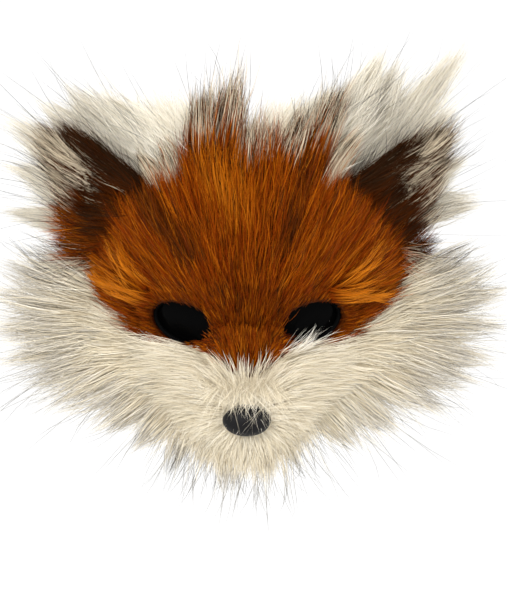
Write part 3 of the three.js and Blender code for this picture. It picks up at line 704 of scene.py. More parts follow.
class Signal:
    """A shader socket that takes part in sums."""

    def __init__(self, tree, socket=None):
        self.tree = tree
        self.socket = socket

    def fill(self, node, inputs):
        """Sets a node's inputs: a Signal is linked, and a number or colour is set on the socket."""
        for name, value in inputs.items():
            if isinstance(value, Signal):
                self.tree.links.new(value.socket, node.inputs[name])
            else:
                node.inputs[name].default_value = value

    def node(self, kind, settings=None, inputs=None, output=0):
        """Adds a node of that kind, sets it up, fills or links its inputs, and gives one of its outputs."""
        made = self.tree.nodes.new(kind)
        for name, value in (settings or {}).items():
            setattr(made, name, value)
        self.fill(made, inputs or {})
        return Signal(self.tree, made.outputs[output])

    def maths(self, operation, other):
        """A Math node of this and another signal or a number."""
        return self.node("ShaderNodeMath", {"operation": operation}, {0: self, 1: other})

    def __add__(self, other):
        return self.maths("ADD", other)

    def __mul__(self, other):
        return self.maths("MULTIPLY", other)

    __radd__ = __add__
    __rmul__ = __mul__

    def ramp(self, low, high):
        """0 below low, 1 above high, and an even rise between."""
        limits = {0: self, 1: low, 2: high, 3: 0.0, 4: 1.0}
        return self.node("ShaderNodeMapRange", {"interpolation_type": "SMOOTHSTEP"}, limits)

    def mix(self, first, second):
        """The first colour where this is 0 and the second where it is 1."""
        return self.node("ShaderNodeMix", {"data_type": "RGBA"}, {0: self, 6: first, 7: second}, 2)

    def read(self, name):
        """An attribute of the mesh."""
        return self.node("ShaderNodeAttribute", {"attribute_name": name}, output=2)


def rgb(red, green, blue):
    """A linear colour."""
    return (red, green, blue, 1.0)


def material(name, shader_inputs):
    """A Principled material. shader_inputs gets a Signal to start from, and gives the shader's inputs."""
    made = bpy.data.materials.new(name)
    made.use_nodes = True
    signal = Signal(made.node_tree)
    signal.fill(made.node_tree.nodes["Principled BSDF"], shader_inputs(signal))
    return made


# The furs' colours besides the main one: at the root, darker partly as the hair's own colour and partly as
# painted shade deep in the coat; of lighter and of gold hairs; of the frosted and shaded ends and lighter
# ones, which on the rust fur are its pale frosted tips and on the cream and pale furs grey painted shade;
# with the tint of the gloss
RUST = {
    "root": rgb(0.035, 0.005, 0.0003), "light": rgb(0.46, 0.118, 0.003), "bright": rgb(0.56, 0.175, 0.010),
    "frosted_and_shaded_end": rgb(0.60, 0.51, 0.37), "frosted_and_shaded_light_end": rgb(0.60, 0.51, 0.37), "glint": rgb(1.0, 0.36, 0.05),
}
CREAM = {
    "root": rgb(0.54, 0.46, 0.32), "light": rgb(0.94, 0.89, 0.77), "bright": rgb(1.0, 0.98, 0.92),
    "frosted_and_shaded_end": rgb(0.40, 0.36, 0.30), "frosted_and_shaded_light_end": rgb(0.94, 0.89, 0.77), "glint": rgb(1.0, 1.0, 1.0),
}
PALE = {
    "root": rgb(0.66, 0.60, 0.49), "light": rgb(0.93, 0.89, 0.79), "bright": rgb(1.0, 0.98, 0.92),
    "frosted_and_shaded_end": rgb(0.40, 0.36, 0.30), "frosted_and_shaded_light_end": rgb(0.93, 0.89, 0.79), "glint": rgb(1.0, 1.0, 1.0),
}


def coat_colour(signal, colours, main, brown, black):
    """A hair's colour: dark at its root, partly as painted shade deep in the coat, its body, lighter by the
    hair, the wisp and gold; then the share of brown, the whitish part, the frosted ends that are grey painted
    shade on the cream and pale furs, and the black tip."""
    along, tone, wisp, dark, pale, frost, tip, gold = (signal.read(name) for name in ("along", *LOOKS))
    light = (tone * 0.75 + wisp * 0.35 + gold * 0.6).ramp(0.35, 1.2)
    body = (gold * tone.ramp(0.5, 1.0)).mix(light.mix(main, colours["light"]), colours["bright"])
    hair = along.ramp(0.0, 0.5).mix(gold.mix(colours["root"], main), body)
    hair = dark.mix(hair, tone.ramp(0.0, 0.5).mix(black, brown))
    pale_frost_and_shade = pale.maths("MAXIMUM", frost * along.ramp(0.3, 0.6))
    hair = pale_frost_and_shade.mix(hair, (tone * 0.5).mix(colours["frosted_and_shaded_end"], colours["frosted_and_shaded_light_end"]))
    return (tip * along.ramp(0.4, 0.7)).mix(hair, black)


def fur_material(name, colours, main, settings):
    """Hair with a soft, tinted gloss, from a fur's colours and the main colour that the user sets."""
    def look(signal):
        colour = coat_colour(signal, colours, main, settings.brown, settings.black)
        return {"Base Color": colour, "Roughness": 0.5, "Specular IOR Level": 0.22,
                "Specular Tint": colours["glint"]}

    return material(name, look)


def grain(signal, scale, strength):
    """A fine random bump, from the object's own coordinates."""
    where = signal.node("ShaderNodeTexCoord", output=3)
    noise = signal.node("ShaderNodeTexNoise", inputs={"Vector": where, "Scale": scale, "Detail": 4.0})
    return signal.node("ShaderNodeBump", inputs={"Strength": strength, "Distance": 0.0004, "Height": noise})


def nose_look(signal):
    """Dark plastic with a fine leathery grain."""
    return {"Base Color": rgb(0.007, 0.0065, 0.007), "Roughness": 0.5, "Specular IOR Level": 0.12,
            "Normal": grain(signal, 700.0, 0.5)}


def lens_look(signal):
    """Smooth, dark plastic."""
    return {"Base Color": rgb(0.001, 0.001, 0.001), "Roughness": 0.09, "Specular IOR Level": 0.02}


def shell_look(signal):
    """Dull black plastic with the grain of its mould."""
    return {"Base Color": rgb(0.002, 0.002, 0.002), "Roughness": 0.8, "Specular IOR Level": 0.03,
            "Normal": grain(signal, 500.0, 0.4)}


def elastic_look(signal):
    """Black elastic with the ribs of its weave."""
    where = signal.node("ShaderNodeTexCoord", output=3)
    ribs = signal.node("ShaderNodeTexWave", {"bands_direction": "Z"}, {"Vector": where, "Scale": 320.0}, 1)
    bump = signal.node("ShaderNodeBump", inputs={"Strength": 0.6, "Distance": 0.0003, "Height": ribs})
    colour = ribs.ramp(0.2, 0.9).mix(rgb(0.008, 0.008, 0.009), rgb(0.035, 0.035, 0.038))
    return {"Base Color": colour, "Roughness": 0.85, "Normal": bump}


def backdrop_look(signal):
    """Matt and pale, with a glow of its own that evens out the shadows."""
    return {"Base Color": rgb(0.2, 0.2, 0.2), "Roughness": 0.9, "Specular IOR Level": 0.0,
            "Emission Color": rgb(1.0, 1.0, 1.0), "Emission Strength": 0.85}


def colour_setting(name, description, default):
    """A colour that the user can set."""
    return FloatVectorProperty(
        name=name, description=description, subtype="COLOR", size=4, min=0, max=1, default=default,
    )


class MaskSettings(bpy.types.PropertyGroup):
    """What the fur and the studio can be set to."""

    hair_width: FloatProperty(
        name="Hair Width", description="Width of a hair at its root, in millimetres", default=0.32, min=0.05,
        max=2.0,
    )
    density: FloatProperty(
        name="Density", description="Share of the full number of hairs", default=1.0, min=0.02, max=1.5,
        subtype="FACTOR",
    )
    stand_proud: FloatProperty(
        name="Loose Hair", description="How far hairs may leave the box of the solids, in millimetres",
        default=15.0, min=0.0, max=50.0,
    )
    seed: IntProperty(name="Seed", description="Start of the random numbers", default=7, min=0)
    rust: colour_setting("Rust", "Main colour of the forehead and the ears", rgb(0.170, 0.020, 0.0003))
    cream: colour_setting("Cream", "Main colour of the muzzle and the cheeks", rgb(0.80, 0.71, 0.53))
    pale: colour_setting("Pale", "Main colour of the fur behind the ears", rgb(0.83, 0.77, 0.64))
    # The brown of the ears' hollows and round the eye openings is partly painted shade
    brown: colour_setting("Brown", "Dark streaks and the ears' hollows", rgb(0.040, 0.007, 0.0006))
    black: colour_setting("Black", "Tips of the hairs and the ears' inner edges", rgb(0.009, 0.006, 0.004))
    key_power: FloatProperty(
        name="Key Light", description="Power of the main soft light", default=10.0, unit="POWER",
    )
    fill_power: FloatProperty(
        name="Fill Light", description="Power of the side light", default=3.5, unit="POWER",
    )
    sky: FloatProperty(
        name="Surroundings", description="Strength of the even light all round", default=0.95,
    )


def hair_for(piece, settings):
    """The empty hair of a piece, with its own random numbers."""
    low, high = np.array(CAD_BOX) / MM
    limits = (low - settings.stand_proud, high + settings.stand_proud)
    return Hair(settings.seed + SEEDS[piece], settings.hair_width, settings.density, limits)


def scatter(rng, count, low, high, reach):
    """Random places on the face between two heights that follow the width: x and z."""
    across = rng.uniform(-reach, reach, count * 2)
    z = rng.uniform(-DROP - 10, RISE + 10, count * 2)
    inside = (z > low(across)) & (z < high(across))
    return across[inside] * HALF_WIDTH, z[inside]


def streaks(x, z, rows):
    """How strongly straight streaks colour places of the coat: a row's strength along its line, and 0 away
    from it."""
    strongest = np.zeros_like(x)
    for start, end, half_width, strength in rows:
        start = np.array(start, float)
        run = np.array(end, float) - start
        at = np.stack([x, z], -1) - start
        share = np.clip((at @ run) / (run @ run), 0, 1)
        off = np.linalg.norm(at - share[..., None] * run, axis=-1)
        within = 1 - smoothstep(off, half_width * 0.4, half_width * 1.3)
        strongest = np.maximum(strongest, strength * within)
    return strongest


def rust_coat(hair):
    """Rust hair that is short by the nose and longer towards the crown, with dark and gold streaks. It stops
    short of the eye openings and, beside the crown, of the shell's upper edge."""
    rng = hair.rng
    x, z = scatter(rng, hair.many(RUST_WISPS), coat_line, rust_top, FRINGE)
    keep = eye_radius(x, z, EYE_CLEARANCE) > 1
    x, z = x[keep], z[keep]
    count = len(x)
    root, ahead = off_face(x, z, CLOTH_FRONT - ROOT_SINK), combed(x, z)
    length = lerp(*RUST_LENGTHS, smoothstep(np.hypot(x, z + NOSE_DROP), 28, 88))
    length = np.where(eye_radius(x, z, 5.0) < 1, np.minimum(length, RUST_LENGTHS[0]), length)
    length = clear_of_eyes(root, ahead, length)
    room = top_edge(x / HALF_WIDTH) + np.interp(np.abs(x), *NOTCH) - z
    length = np.minimum(length, np.maximum(room, 7) / np.maximum(ahead[:, 2], 0.4))
    # Painted shade: the hair just round the eye openings is darker
    rim_shade = 0.55 * (eye_radius(x, z, 3.0) < 1)
    bridge = 0.5 * (1 - smoothstep(np.hypot(x / 20, (z - 2) / 20), 0.4, 1.3))
    eye_gold = streaks(x, z, EYE_GOLD)
    dark = np.maximum.reduce([streaks(x, z, DARK_STREAKS), rim_shade, bridge]) * (1 - eye_gold)
    gold = np.maximum(0.3 * eye_gold, streaks(x, z, CROWN_GOLD))
    gold = np.maximum(gold, 0.8 * hair.some(0.07, count))
    dark = np.maximum(dark * rng.uniform(0.4, 1.0, count), 0.6 * hair.some(0.06, count))
    hair.wisps(root, ahead, face_normal(x, z), length, points=4, pull=0.15, jitter=0.08, gold=gold, dark=dark,
               tip=Some(0.06))


def gold_strands(hair):
    """Bright strands beside the eyes, that lie over the coat."""
    rng = hair.rng
    for side, (x, z), turn, number in GOLD_STRANDS:
        count = hair.many(number)
        x, z = x + rng.normal(0, 2.5, count), z + rng.normal(0, 2.0, count)
        turns = np.radians(turn + rng.normal(0, 5, count))
        ahead = np.stack([side * np.cos(turns), np.zeros(count), np.sin(turns)], -1)
        out = face_normal(x, z)
        ahead = unit(ahead - out * (ahead * out).sum(-1, keepdims=True))
        hair.wisps(off_face(x, z, CLOTH_FRONT + 2.0), ahead, out, STRAND_LENGTH, hairs=8, spread=1.3,
                   lift=0.42, lay=0.2, jitter=0.04, gold=1.0, tone=rng.uniform(0.5, 1.0, count))


def eye_rims(hair):
    """Short hair all round the eye openings, that leans away from them."""
    rng = hair.rng
    for side in (-1, 1):
        count = hair.many(230)
        angle, grow = rng.uniform(0, 2 * np.pi, count), rng.uniform(0.9, 2.6, count)
        a, b = (EYE_SIZE[0] / 2 + grow) * np.cos(angle), (EYE_SIZE[1] / 2 + grow) * np.sin(angle)
        x, z = side * EYE_SPACING / 2 + a, b - EYE_DROP
        away = unit(np.stack([a, np.zeros(count), b], -1) / 12 + combed(x, z) * 0.8)
        # Its dark share is painted shade round the openings
        hair.wisps(off_face(x, z, CLOTH_FRONT - 0.8), away, face_normal(x, z), RIM_LENGTH, hairs=5,
                   spread=1.0, lift=0.35, dark=0.35)


def crown_locks(hair):
    """Rust tufts with frosted, black-tipped ends, low whitish locks at both sides of them, the hair that
    joins them, and single hairs past their ends."""
    anchors = []
    for across, long, width, lean in CROWN_LOCKS:
        x, z = across * HALF_WIDTH, float(top_edge(across)) - FUR_OVERHANG
        out = face_normal(np.float64(x), np.float64(z))
        root = off_face(x, z, CLOTH_BACK + FUR_EDGE_DEPTH / 2)
        anchors.append((root, leaning(lean * 0.8), out, long * CROWN_PILE))
        aside = abs(across) > 0.38
        low = -0.1 < across < 0.15
        hair.lock(root, leaning(lean * 0.5), out, long * CROWN_PILE, width * CROWN_PILE, 400, lift=0.04,
                  end=leaning(lean), ragged=0.5 if low else 0.25, open_tip=0.6, frost_from=0.12,
                  pale=Some(0.85) if aside else 0.0, dark=Some(0.1), frost=0.0 if aside else 1.0,
                  tip=Some(0.25 if low or aside else 0.45), gold=Some(0.5, 0.5))
    sides, tufts = anchors[:2], anchors[2:8]
    for row, number, pale in ((tufts, 640, 0.0), (sides, 90, Some(0.85))):
        hair.between(row, number, (0.35, 0.7), hairs=6, spread=4.0, lift=0.08, pull=0.25, jitter=0.09,
                     pale=pale, tip=Some(0.15), gold=Some(0.5))
    ends = [(root + ahead * length * 0.5, ahead, out, length * 0.6) for root, ahead, out, length in tufts]
    hair.between(ends, 200, (0.6, 1.1), hairs=5, spread=4.0, lift=0.05, pull=0.1, jitter=0.1, frost=1.0,
                 tip=Some(0.25))
    hair.between(ends, 60, (0.9, 1.5), hairs=2, spread=5.0, lift=0.1, pull=0.0, jitter=0.16, thickness=0.7,
                 frost=1.0, tip=1.0)
    hair.between(anchors, 120, (0.6, 1.0), hairs=3, spread=5.0, lift=0.1, pull=0.0, jitter=0.16,
                 thickness=0.8, tip=1.0)


def cream_coat(hair):
    """Cream hair that is short by the nose and longer on the cheeks and towards the chin's sides. It is
    thinner along the seam, and a few hairs stray over the eye openings' lower rims."""
    rng = hair.rng
    x, z = scatter(rng, hair.many(CREAM_WISPS), cream_bottom, coat_line, FRINGE)
    near_seam = coat_line(x / HALF_WIDTH) - z < 3.0
    keep = (eye_radius(x, z, EYE_CLEARANCE) > 1) & (~near_seam | (rng.random(len(x)) < 0.4))
    x, z = x[keep], z[keep]
    away = np.hypot(x, z + NOSE_DROP)
    root, ahead = off_face(x, z, CLOTH_FRONT - ROOT_SINK), combed(x, z)
    length = lerp(*CREAM_LENGTHS, smoothstep(away, 6, 62)) * lerp(1.0, 0.7, smoothstep(-z, 36, 50))
    stray = (rng.random(len(x)) < 0.05) & (np.abs(x) < 40)
    length = np.where(stray, length, clear_of_eyes(root, ahead, length))
    # frost greys the hair towards its far ends: painted shade
    hair.wisps(root, ahead, face_normal(x, z), length, hairs=7, lift=lerp(0.5, 0.3, smoothstep(away, 8, 25)),
               droop=0.05, pull=0.1, jitter=0.09, points=4, thickness=0.72,
               dark=0.05 * (1 - smoothstep(away, 30, 60)), frost=0.5 * smoothstep(away, 55, 80))


def cheek_locks(hair):
    """The cheeks' locks, whose ends are greyed as painted shade, most at the top. It gives the anchors of the
    outline and of the inner locks, for each side."""
    outline, inner = {-1: [], 1: []}, {-1: [], 1: []}
    for side in (-1, 1):
        for number, (across, height, long, width, turn, rear) in enumerate(CHEEK_LOCKS):
            x, z = side * across * HALF_WIDTH, height * DROP
            root = off_face(x, z, CLOTH_BACK + CHEEK_ROOT)
            turn = math.radians(turn)
            end = unit(np.array([side * math.cos(turn), rear, math.sin(turn)]))
            flat = unit(lerp(face_normal(np.float64(x), np.float64(z)), IN_FRONT, 0.6))
            rows = outline if number < CHEEK_OUTLINE else inner
            rows[side].append((root, end, flat, long * CHEEK_PILE))
            hair.lock(root, end, flat, long * CHEEK_PILE, width * CHEEK_PILE, 130 if number == 0 else 220,
                      ragged=0.35, frost=Some(1.0 if number < 2 else 0.75),
                      tip=Some(0.4 if number == 0 else 0.05))
    return outline, inner


def beard_locks(hair):
    """The locks under the nose, of which the long one has black tips. It gives their anchors."""
    anchors = []
    for across, long, width, lean in BEARD_LOCKS:
        lean = math.radians(lean)
        z = float(bottom_edge(across)) + FUR_OVERHANG
        root = off_face(across * HALF_WIDTH, z, CLOTH_BACK + BEARD_ROOT)
        down = unit(np.array([math.sin(lean), -0.1, -math.cos(lean)]))
        anchors.append((root, down, IN_FRONT, long * BEARD_PILE))
        tuft = long > 1
        # frost greys the ends of the locks: painted shade
        hair.lock(root, down, IN_FRONT, long * BEARD_PILE, width * BEARD_PILE, 200 if tuft else 110,
                  ragged=0.5, thickness=0.8, frost=1.0, tip=Some(0.4) if tuft else 0.0)
    return anchors


def jaw_hair(hair):
    """The locks of the cheeks and the beard, the hair that joins them, and single hairs past their ends."""
    cheeks, inner = cheek_locks(hair)
    beard = beard_locks(hair)
    jaw = cheeks[-1] + beard + cheeks[1][::-1]
    for side in (-1, 1):
        # frost greys the ends of this hair: painted shade
        hair.between(cheeks[side], 620, (0.55, 1.1), hairs=6, spread=6.0, lift=0.1, jitter=0.07, fan=0.12,
                     points=4, frost=Some(0.8))
    hair.between([cheeks[-1][-1], *beard, cheeks[1][-1]], 240, (0.4, 1.0), hairs=5, spread=5.0, lift=0.1,
                 jitter=0.1, fan=0.15, thickness=0.8, frost=Some(0.5))
    for side in (-1, 1):
        hair.between(inner[side], 200, (0.5, 1.0), hairs=6, spread=6.0, lift=0.15)
    hair.between(jaw, 300, (0.95, 1.35), hairs=2, spread=5.0, lift=0.1, pull=0.0, jitter=0.15, thickness=0.9,
                 droop=0.1, frost=1.0, tip=0.8)
    hair.between(beard, 150, (1.1, 2.4), hairs=2, spread=7.0, lift=0.1, pull=0.0, jitter=0.15, thickness=0.8,
                 frost=1.0, tip=0.7)


def nose_hairs(hair, rng):
    """Fine hairs that cross over the nose from above it."""
    count = hair.many(240)
    x = rng.normal(0, 5.5, count)
    ahead = unit(np.stack([rng.normal(0, 0.9, count), np.full(count, -0.6), np.full(count, -0.7)], -1))
    root = off_face(x, rng.uniform(6.0, 9.0, count) - NOSE_DROP, rng.uniform(12, 15, count))
    hair.wisps(root, ahead, IN_FRONT, rng.uniform(10, 24, count), hairs=2, spread=3.0, lift=0.0, lay=0.0,
               jitter=0.3, droop=0.35, thickness=0.5)


def eye_corner_hairs(hair, rng):
    """White hairs of the muzzle that reach up over the right eye's inner corner."""
    count = hair.many(26)
    x, z = rng.uniform(12, 25, count), rng.uniform(-20, -15, count)
    ahead = unit(leaning(rng.normal(42, 12, count)) + IN_FRONT * 0.25)
    hair.wisps(off_face(x, z, CLOTH_FRONT), ahead, face_normal(x, z), rng.uniform(16, 27, count), hairs=4,
               spread=2.0, lift=0.2, jitter=0.1, thickness=0.6, gold=1.0)


def ear_coat(hair, side, peak):
    """Hair of an ear's two faces: black streaks that run to the peak at the inner edge, brown in the hollow,
    which is partly painted shade, and in front whitish towards the top."""
    rng, ear = hair.rng, EARS[side]
    for face, number in ((1, EAR_FRONT_WISPS), (-1, EAR_BACK_WISPS)):
        count = hair.many(number)
        s, t = rng.uniform(-0.95, 1, count), rng.uniform(0.0, 0.95, count)
        root = ear_point(side, s, t, face * EAR_WALL / 2 - EAR_ROOT_SINK)
        reach = peak - root
        combed_out = leaning(lerp(*ear.comb, smoothstep(t, 0.0, 0.4)), side, -0.12)
        ahead = unit(lerp(unit(reach), combed_out, smoothstep(s, -0.8, -0.1)[:, None]))
        height = t + rng.normal(0, 0.14, count)
        streaked = s < lerp(-0.86, -0.3, smoothstep(t, 0.5, 0.9))
        to_peak = np.linalg.norm(reach, axis=1) * rng.uniform(0.4, 1.0, count)
        front = ~streaked & (face > 0)
        rim = smoothstep(s, 0.0, 0.7) * smoothstep(-t, -0.65, -0.35) * front * ear.fringed
        length = np.where(streaked, to_peak, lerp(*EAR_LENGTHS, t))
        # The brown of the front, in the hollow, is partly painted shade; on the back it is the fur's colour
        hair.wisps(root, ahead, EAR_FRONT * face, length, lift=0.16, points=4,
                   dark=np.where(streaked, 1.0, lerp(0.95, 0.0, rim)),
                   tone=np.where(streaked, rng.uniform(0, 0.5, count), rng.uniform(0.3, 1, count)),
                   pale=((height > 0.72) & front) * hair.some(0.7, count),
                   frost=((height > 0.45) & front) * hair.some(0.7, count), tip=Some(0.3))


def ear_streak(hair, side, peak):
    """Long black hairs along an ear's inner edge, that meet near the peak."""
    rng = hair.rng
    count = hair.many(130)
    t = rng.uniform(0.0, 0.97, count)
    root = ear_point(side, rng.uniform(-1, lerp(-0.75, -0.9, t)), t, EAR_WALL / 2 - EAR_ROOT_SINK)
    reach = peak + np.array([side, 0.0, -1.0]) * rng.normal(0, 3, (count, 1)) - root
    length = np.minimum(np.linalg.norm(reach, axis=1), 46.0) * rng.uniform(0.5, 1.2, count)
    hair.wisps(root, unit(reach), EAR_FRONT, length, hairs=5, spread=1.6, lift=0.14, fan=0.05, jitter=0.06,
               thickness=0.8, dark=1.0, tone=0.3 * rng.random(count))


def ear_fringe(hair, side):
    """Rust hair that stands out from the lower half of the outer edge."""
    rng = hair.rng
    count = hair.many(90)
    root = ear_point(side, rng.uniform(0.5, 1, count), rng.uniform(0.12, 0.42, count), EAR_WALL / 2)
    ahead = leaning(rng.uniform(66, 98, count), side, -0.15)
    hair.wisps(root, ahead, EAR_FRONT, rng.uniform(24, 34, count), hairs=5, spread=2.0, lift=0.15,
               jitter=0.05, gold=0.3, tip=Some(0.2))


def ear_foot(hair, side):
    """Hair below the root of an ear, that hides where it joins the face."""
    ear = EARS[side]
    count = hair.many(90)
    s = hair.rng.uniform(-1, 1, count)
    root = ear_point(side, s, np.zeros(count), EAR_WALL / 2) - np.array([0.0, 0.0, 3.0])
    hair.wisps(root, leaning(lerp(30, ear.comb[0], (s + 1) / 2), side, -0.1), EAR_FRONT, 15.0, hairs=5,
               lift=0.1, dark=lerp(0.9, ear.root_dark, smoothstep(s, -0.2, 0.8)))


def ear_locks(hair, side, peak):
    """The locks of an ear's edges: the inner ones black and drawn to the peak, the outer ones frosted."""
    ear = EARS[side]
    for edge, along, long, width, turn in EAR_LOCKS:
        root = ear_point(side, edge * 0.94, along, 0)
        turn = math.radians(turn)
        ahead = unit(ear_axis(side) * math.cos(turn) + np.array([side, 0, 0]) * math.sin(turn))
        outer = edge > 0
        number = (170 if along > 0.3 else ear.low_lock_hairs) if outer else 60
        tone = hair.rng.random(hair.many(number)) * outer
        hair.lock(root, ahead if outer else unit(peak - root), EAR_FRONT, long * EAR_PILE,
                  width * EAR_PILE * (1 if outer else 0.5), number, lift=0.05, ragged=0.3 if outer else 0.8,
                  dark=ear.edge_dark if outer else 1.0, tone=tone,
                  frost=Some(0.8) if outer and along > ear.frost_from else 0.0,
                  pale=Some(0.8) if outer and along > 0.7 else 0.0, tip=Some(0.4) if outer else 1.0)


def ear_loose_hairs(hair, side):
    """Single hairs off the inner edge, long black-tipped ones over the hollow, and those low on the outer
    edge."""
    rng, ear = hair.rng, EARS[side]
    count = hair.many(60)
    root = ear_point(side, np.full(count, -1.0), rng.uniform(0.0, 0.9, count), 0)
    hair.wisps(root, leaning(rng.uniform(12, 42, count), side, 0.05), EAR_FRONT, 26.0, hairs=2, spread=3.0,
               pull=0.1, thickness=0.7, tip=1.0, dark=1.0, tone=0.2)
    count = hair.many(150)
    s, t = rng.uniform(-0.6, 1, count), 0.85 * rng.random(count) ** 1.2
    ahead = leaning(lerp(*ear.comb, smoothstep(t, 0.0, 0.45)), side, -0.1)
    hair.wisps(ear_point(side, s, t, EAR_WALL / 2), ahead, EAR_FRONT, rng.uniform(30, 48, count), hairs=4,
               spread=2.5, lift=0.15, pull=0.3, jitter=0.06, fan=0.08, thickness=0.75, points=6, dark=0.9,
               tone=0.3, frost=(t > 0.3) * hair.some(0.4, count), tip=1.0)
    count = hair.many(80)
    s, t = rng.uniform(0.5, 1, count), rng.uniform(0, 0.14, count)
    ahead = leaning(rng.uniform(92, 116, count), side, -0.05)
    hair.wisps(ear_point(side, s, t, 0), ahead, EAR_FRONT, rng.uniform(34, 50, count), hairs=4, spread=4.0,
               lift=0.1, pull=0.1, jitter=0.12, fan=0.1, points=6, frost=1.0, tip=Some(0.6))


def ear_cloth(side):
    """The cloth of an ear, just inside the faces of its solid, and its looks: brown, partly painted shade of
    the hollow, and whitish above.
    """
    s, t = grid(24, 20)
    s = lerp(-1, 1, s)
    front = ear_point(side, side * s, 0.97 * t, EAR_WALL / 2 - 0.5)
    back = ear_point(side, side * s, 0.97 * t, 0.5 - EAR_WALL / 2)
    high = np.tile((smoothstep(t, 0.6, 0.85) * smoothstep(s, -0.8, -0.5)).ravel(), 2)
    return closed_sheet(front, back), {"pale": high, "dark": 0.9 * (1 - high)}


def mass_coat(hair, side):
    """The hair of a mass's back and front, that leans out more towards its outer end."""
    rng = hair.rng
    for back in (0, 1):
        count = hair.many(MASS_WISPS)
        along, up = rng.random(count), rng.uniform(0.35, 1, count)
        root = mass_point(side, along, up, lerp(0.05, 0.95, back))
        ahead = leaning(lerp(22, 60, along) + rng.normal(0, 8, count), side)
        lift = 0.2 if back else lerp(0.16, 0.0, smoothstep(along, 0.3, 0.6))
        hair.wisps(root, ahead, -IN_FRONT if back else IN_FRONT, lerp(*MASS_LENGTHS, along), hairs=7,
                   spread=3.0, lift=lift, points=4, pull=0.1)


def mass_locks(hair, side, rows):
    """A mass's locks, the hair that joins them, and single hairs past their ends."""
    anchors = []
    for along, long, width, lean in rows:
        root = mass_point(side, along, MASS_LOCK_ROOT, 0.5)
        ahead = leaning(lean, side, 0.06)
        anchors.append((root, ahead, -IN_FRONT, long * MASS_PILE))
        # frost greys the ends of these locks and hairs: painted shade
        hair.lock(root, ahead, -IN_FRONT, long * MASS_PILE, width * MASS_PILE, 420, lift=0.06, ragged=0.2,
                  thickness=1.2, frost=Some(0.3))
    hair.between(anchors, 1250, (0.5, 0.88), hairs=7, spread=7.0, lift=0.05, uneven=0.75, points=4, pull=0.15,
                 fan=0.08, frost=Some(0.22))
    hair.between(anchors, 170, (0.95, 1.3), hairs=2, spread=5.0, lift=0.1, pull=0.0, jitter=0.16,
                 thickness=0.9, points=6, frost=1.0, tip=Some(0.7))


class Piece:
    """What the operators share."""

    bl_options = {"REGISTER", "UNDO"}


class MASK_OT_face_fur(Piece, bpy.types.Operator):
    """Rust coat over the forehead and round the eyes, with its crown of dark-tipped locks"""

    bl_idname = "mask.face_fur"
    bl_label = "Face Fur"

    def execute(self, context):
        settings = context.scene.mask_settings
        look = fur_material("Rust Fur", RUST, settings.rust, settings)
        coat = hair_for("face_fur_coat", settings)
        rust_coat(coat)
        gold_strands(coat)
        eye_rims(coat)
        cloth = face_sheet(seam_line, rust_top, FRINGE, CLOTH_BACK, CLOTH_FRONT, EYE_HOLE, 110, 50)
        place(coat.mesh("face_fur_coat", cloth), look, "rust_fur", "face_fur")
        crown = hair_for("face_fur_crown", settings)
        crown_locks(crown)
        place(crown.mesh("face_fur_crown"), look, "rust_fur")
        return {"FINISHED"}


class MASK_OT_muzzle_fur(Piece, bpy.types.Operator):
    """Cream coat of the muzzle and cheeks, with its locks and the beard"""

    bl_idname = "mask.muzzle_fur"
    bl_label = "Muzzle Fur"

    def execute(self, context):
        settings = context.scene.mask_settings
        look = fur_material("Cream Fur", CREAM, settings.cream, settings)
        coat = hair_for("muzzle_fur_coat", settings)
        cream_coat(coat)
        cloth = face_sheet(cream_bottom, seam_line, FRINGE, CLOTH_BACK, CLOTH_FRONT, EYE_HOLE, 100, 36)
        place(coat.mesh("muzzle_fur_coat", cloth), look, "cream_fur", "muzzle_fur")
        locks = hair_for("muzzle_fur_locks", settings)
        jaw_hair(locks)
        nose_hairs(locks, coat.rng)
        eye_corner_hairs(locks, coat.rng)
        place(locks.mesh("muzzle_fur_locks"), look, "cream_fur")
        return {"FINISHED"}


class MASK_OT_ears(Piece, bpy.types.Operator):
    """Both ears: dark hollows, partly painted shade, with black inner edges and pale, black-tipped hair at
    the outer ones
    """

    bl_idname = "mask.ears"
    bl_label = "Ears"

    def execute(self, context):
        settings = context.scene.mask_settings
        look = fur_material("Ear Fur", RUST, settings.rust, settings)
        for side, ear in EARS.items():
            piece = f"ear_{ear.name}_fur"
            hair = hair_for(piece, settings)
            peak = ear_point(side, np.float64(0.0), np.float64(1.0), 0.0) + ear.peak
            ear_coat(hair, side, peak)
            ear_streak(hair, side, peak)
            if ear.fringed:
                ear_fringe(hair, side)
            ear_foot(hair, side)
            ear_locks(hair, side, peak)
            ear_loose_hairs(hair, side)
            place(hair.mesh(piece, *ear_cloth(side)), look, "ear_fur", f"ear_{ear.name}")
        return {"FINISHED"}


class MASK_OT_back_fur(Piece, bpy.types.Operator):
    """The two pale masses behind the ears"""

    bl_idname = "mask.back_fur"
    bl_label = "Back Fur"

    def execute(self, context):
        settings = context.scene.mask_settings
        look = fur_material("Pale Fur", PALE, settings.pale, settings)
        for side, name, rows in ((-1, "left", LEFT_MASS_LOCKS), (1, "right", RIGHT_MASS_LOCKS)):
            piece = f"back_fur_{name}_coat"
            hair = hair_for(piece, settings)
            mass_coat(hair, side)
            mass_locks(hair, side, rows)
            s, t = grid(40, 14)
            s = s if side > 0 else 1 - s
            cloth = closed_sheet(mass_point(side, s, t, 0.08), mass_point(side, s, t, 0.92))
            place(hair.mesh(piece, cloth), look, "pale_fur", f"back_fur_{name}")
        return {"FINISHED"}


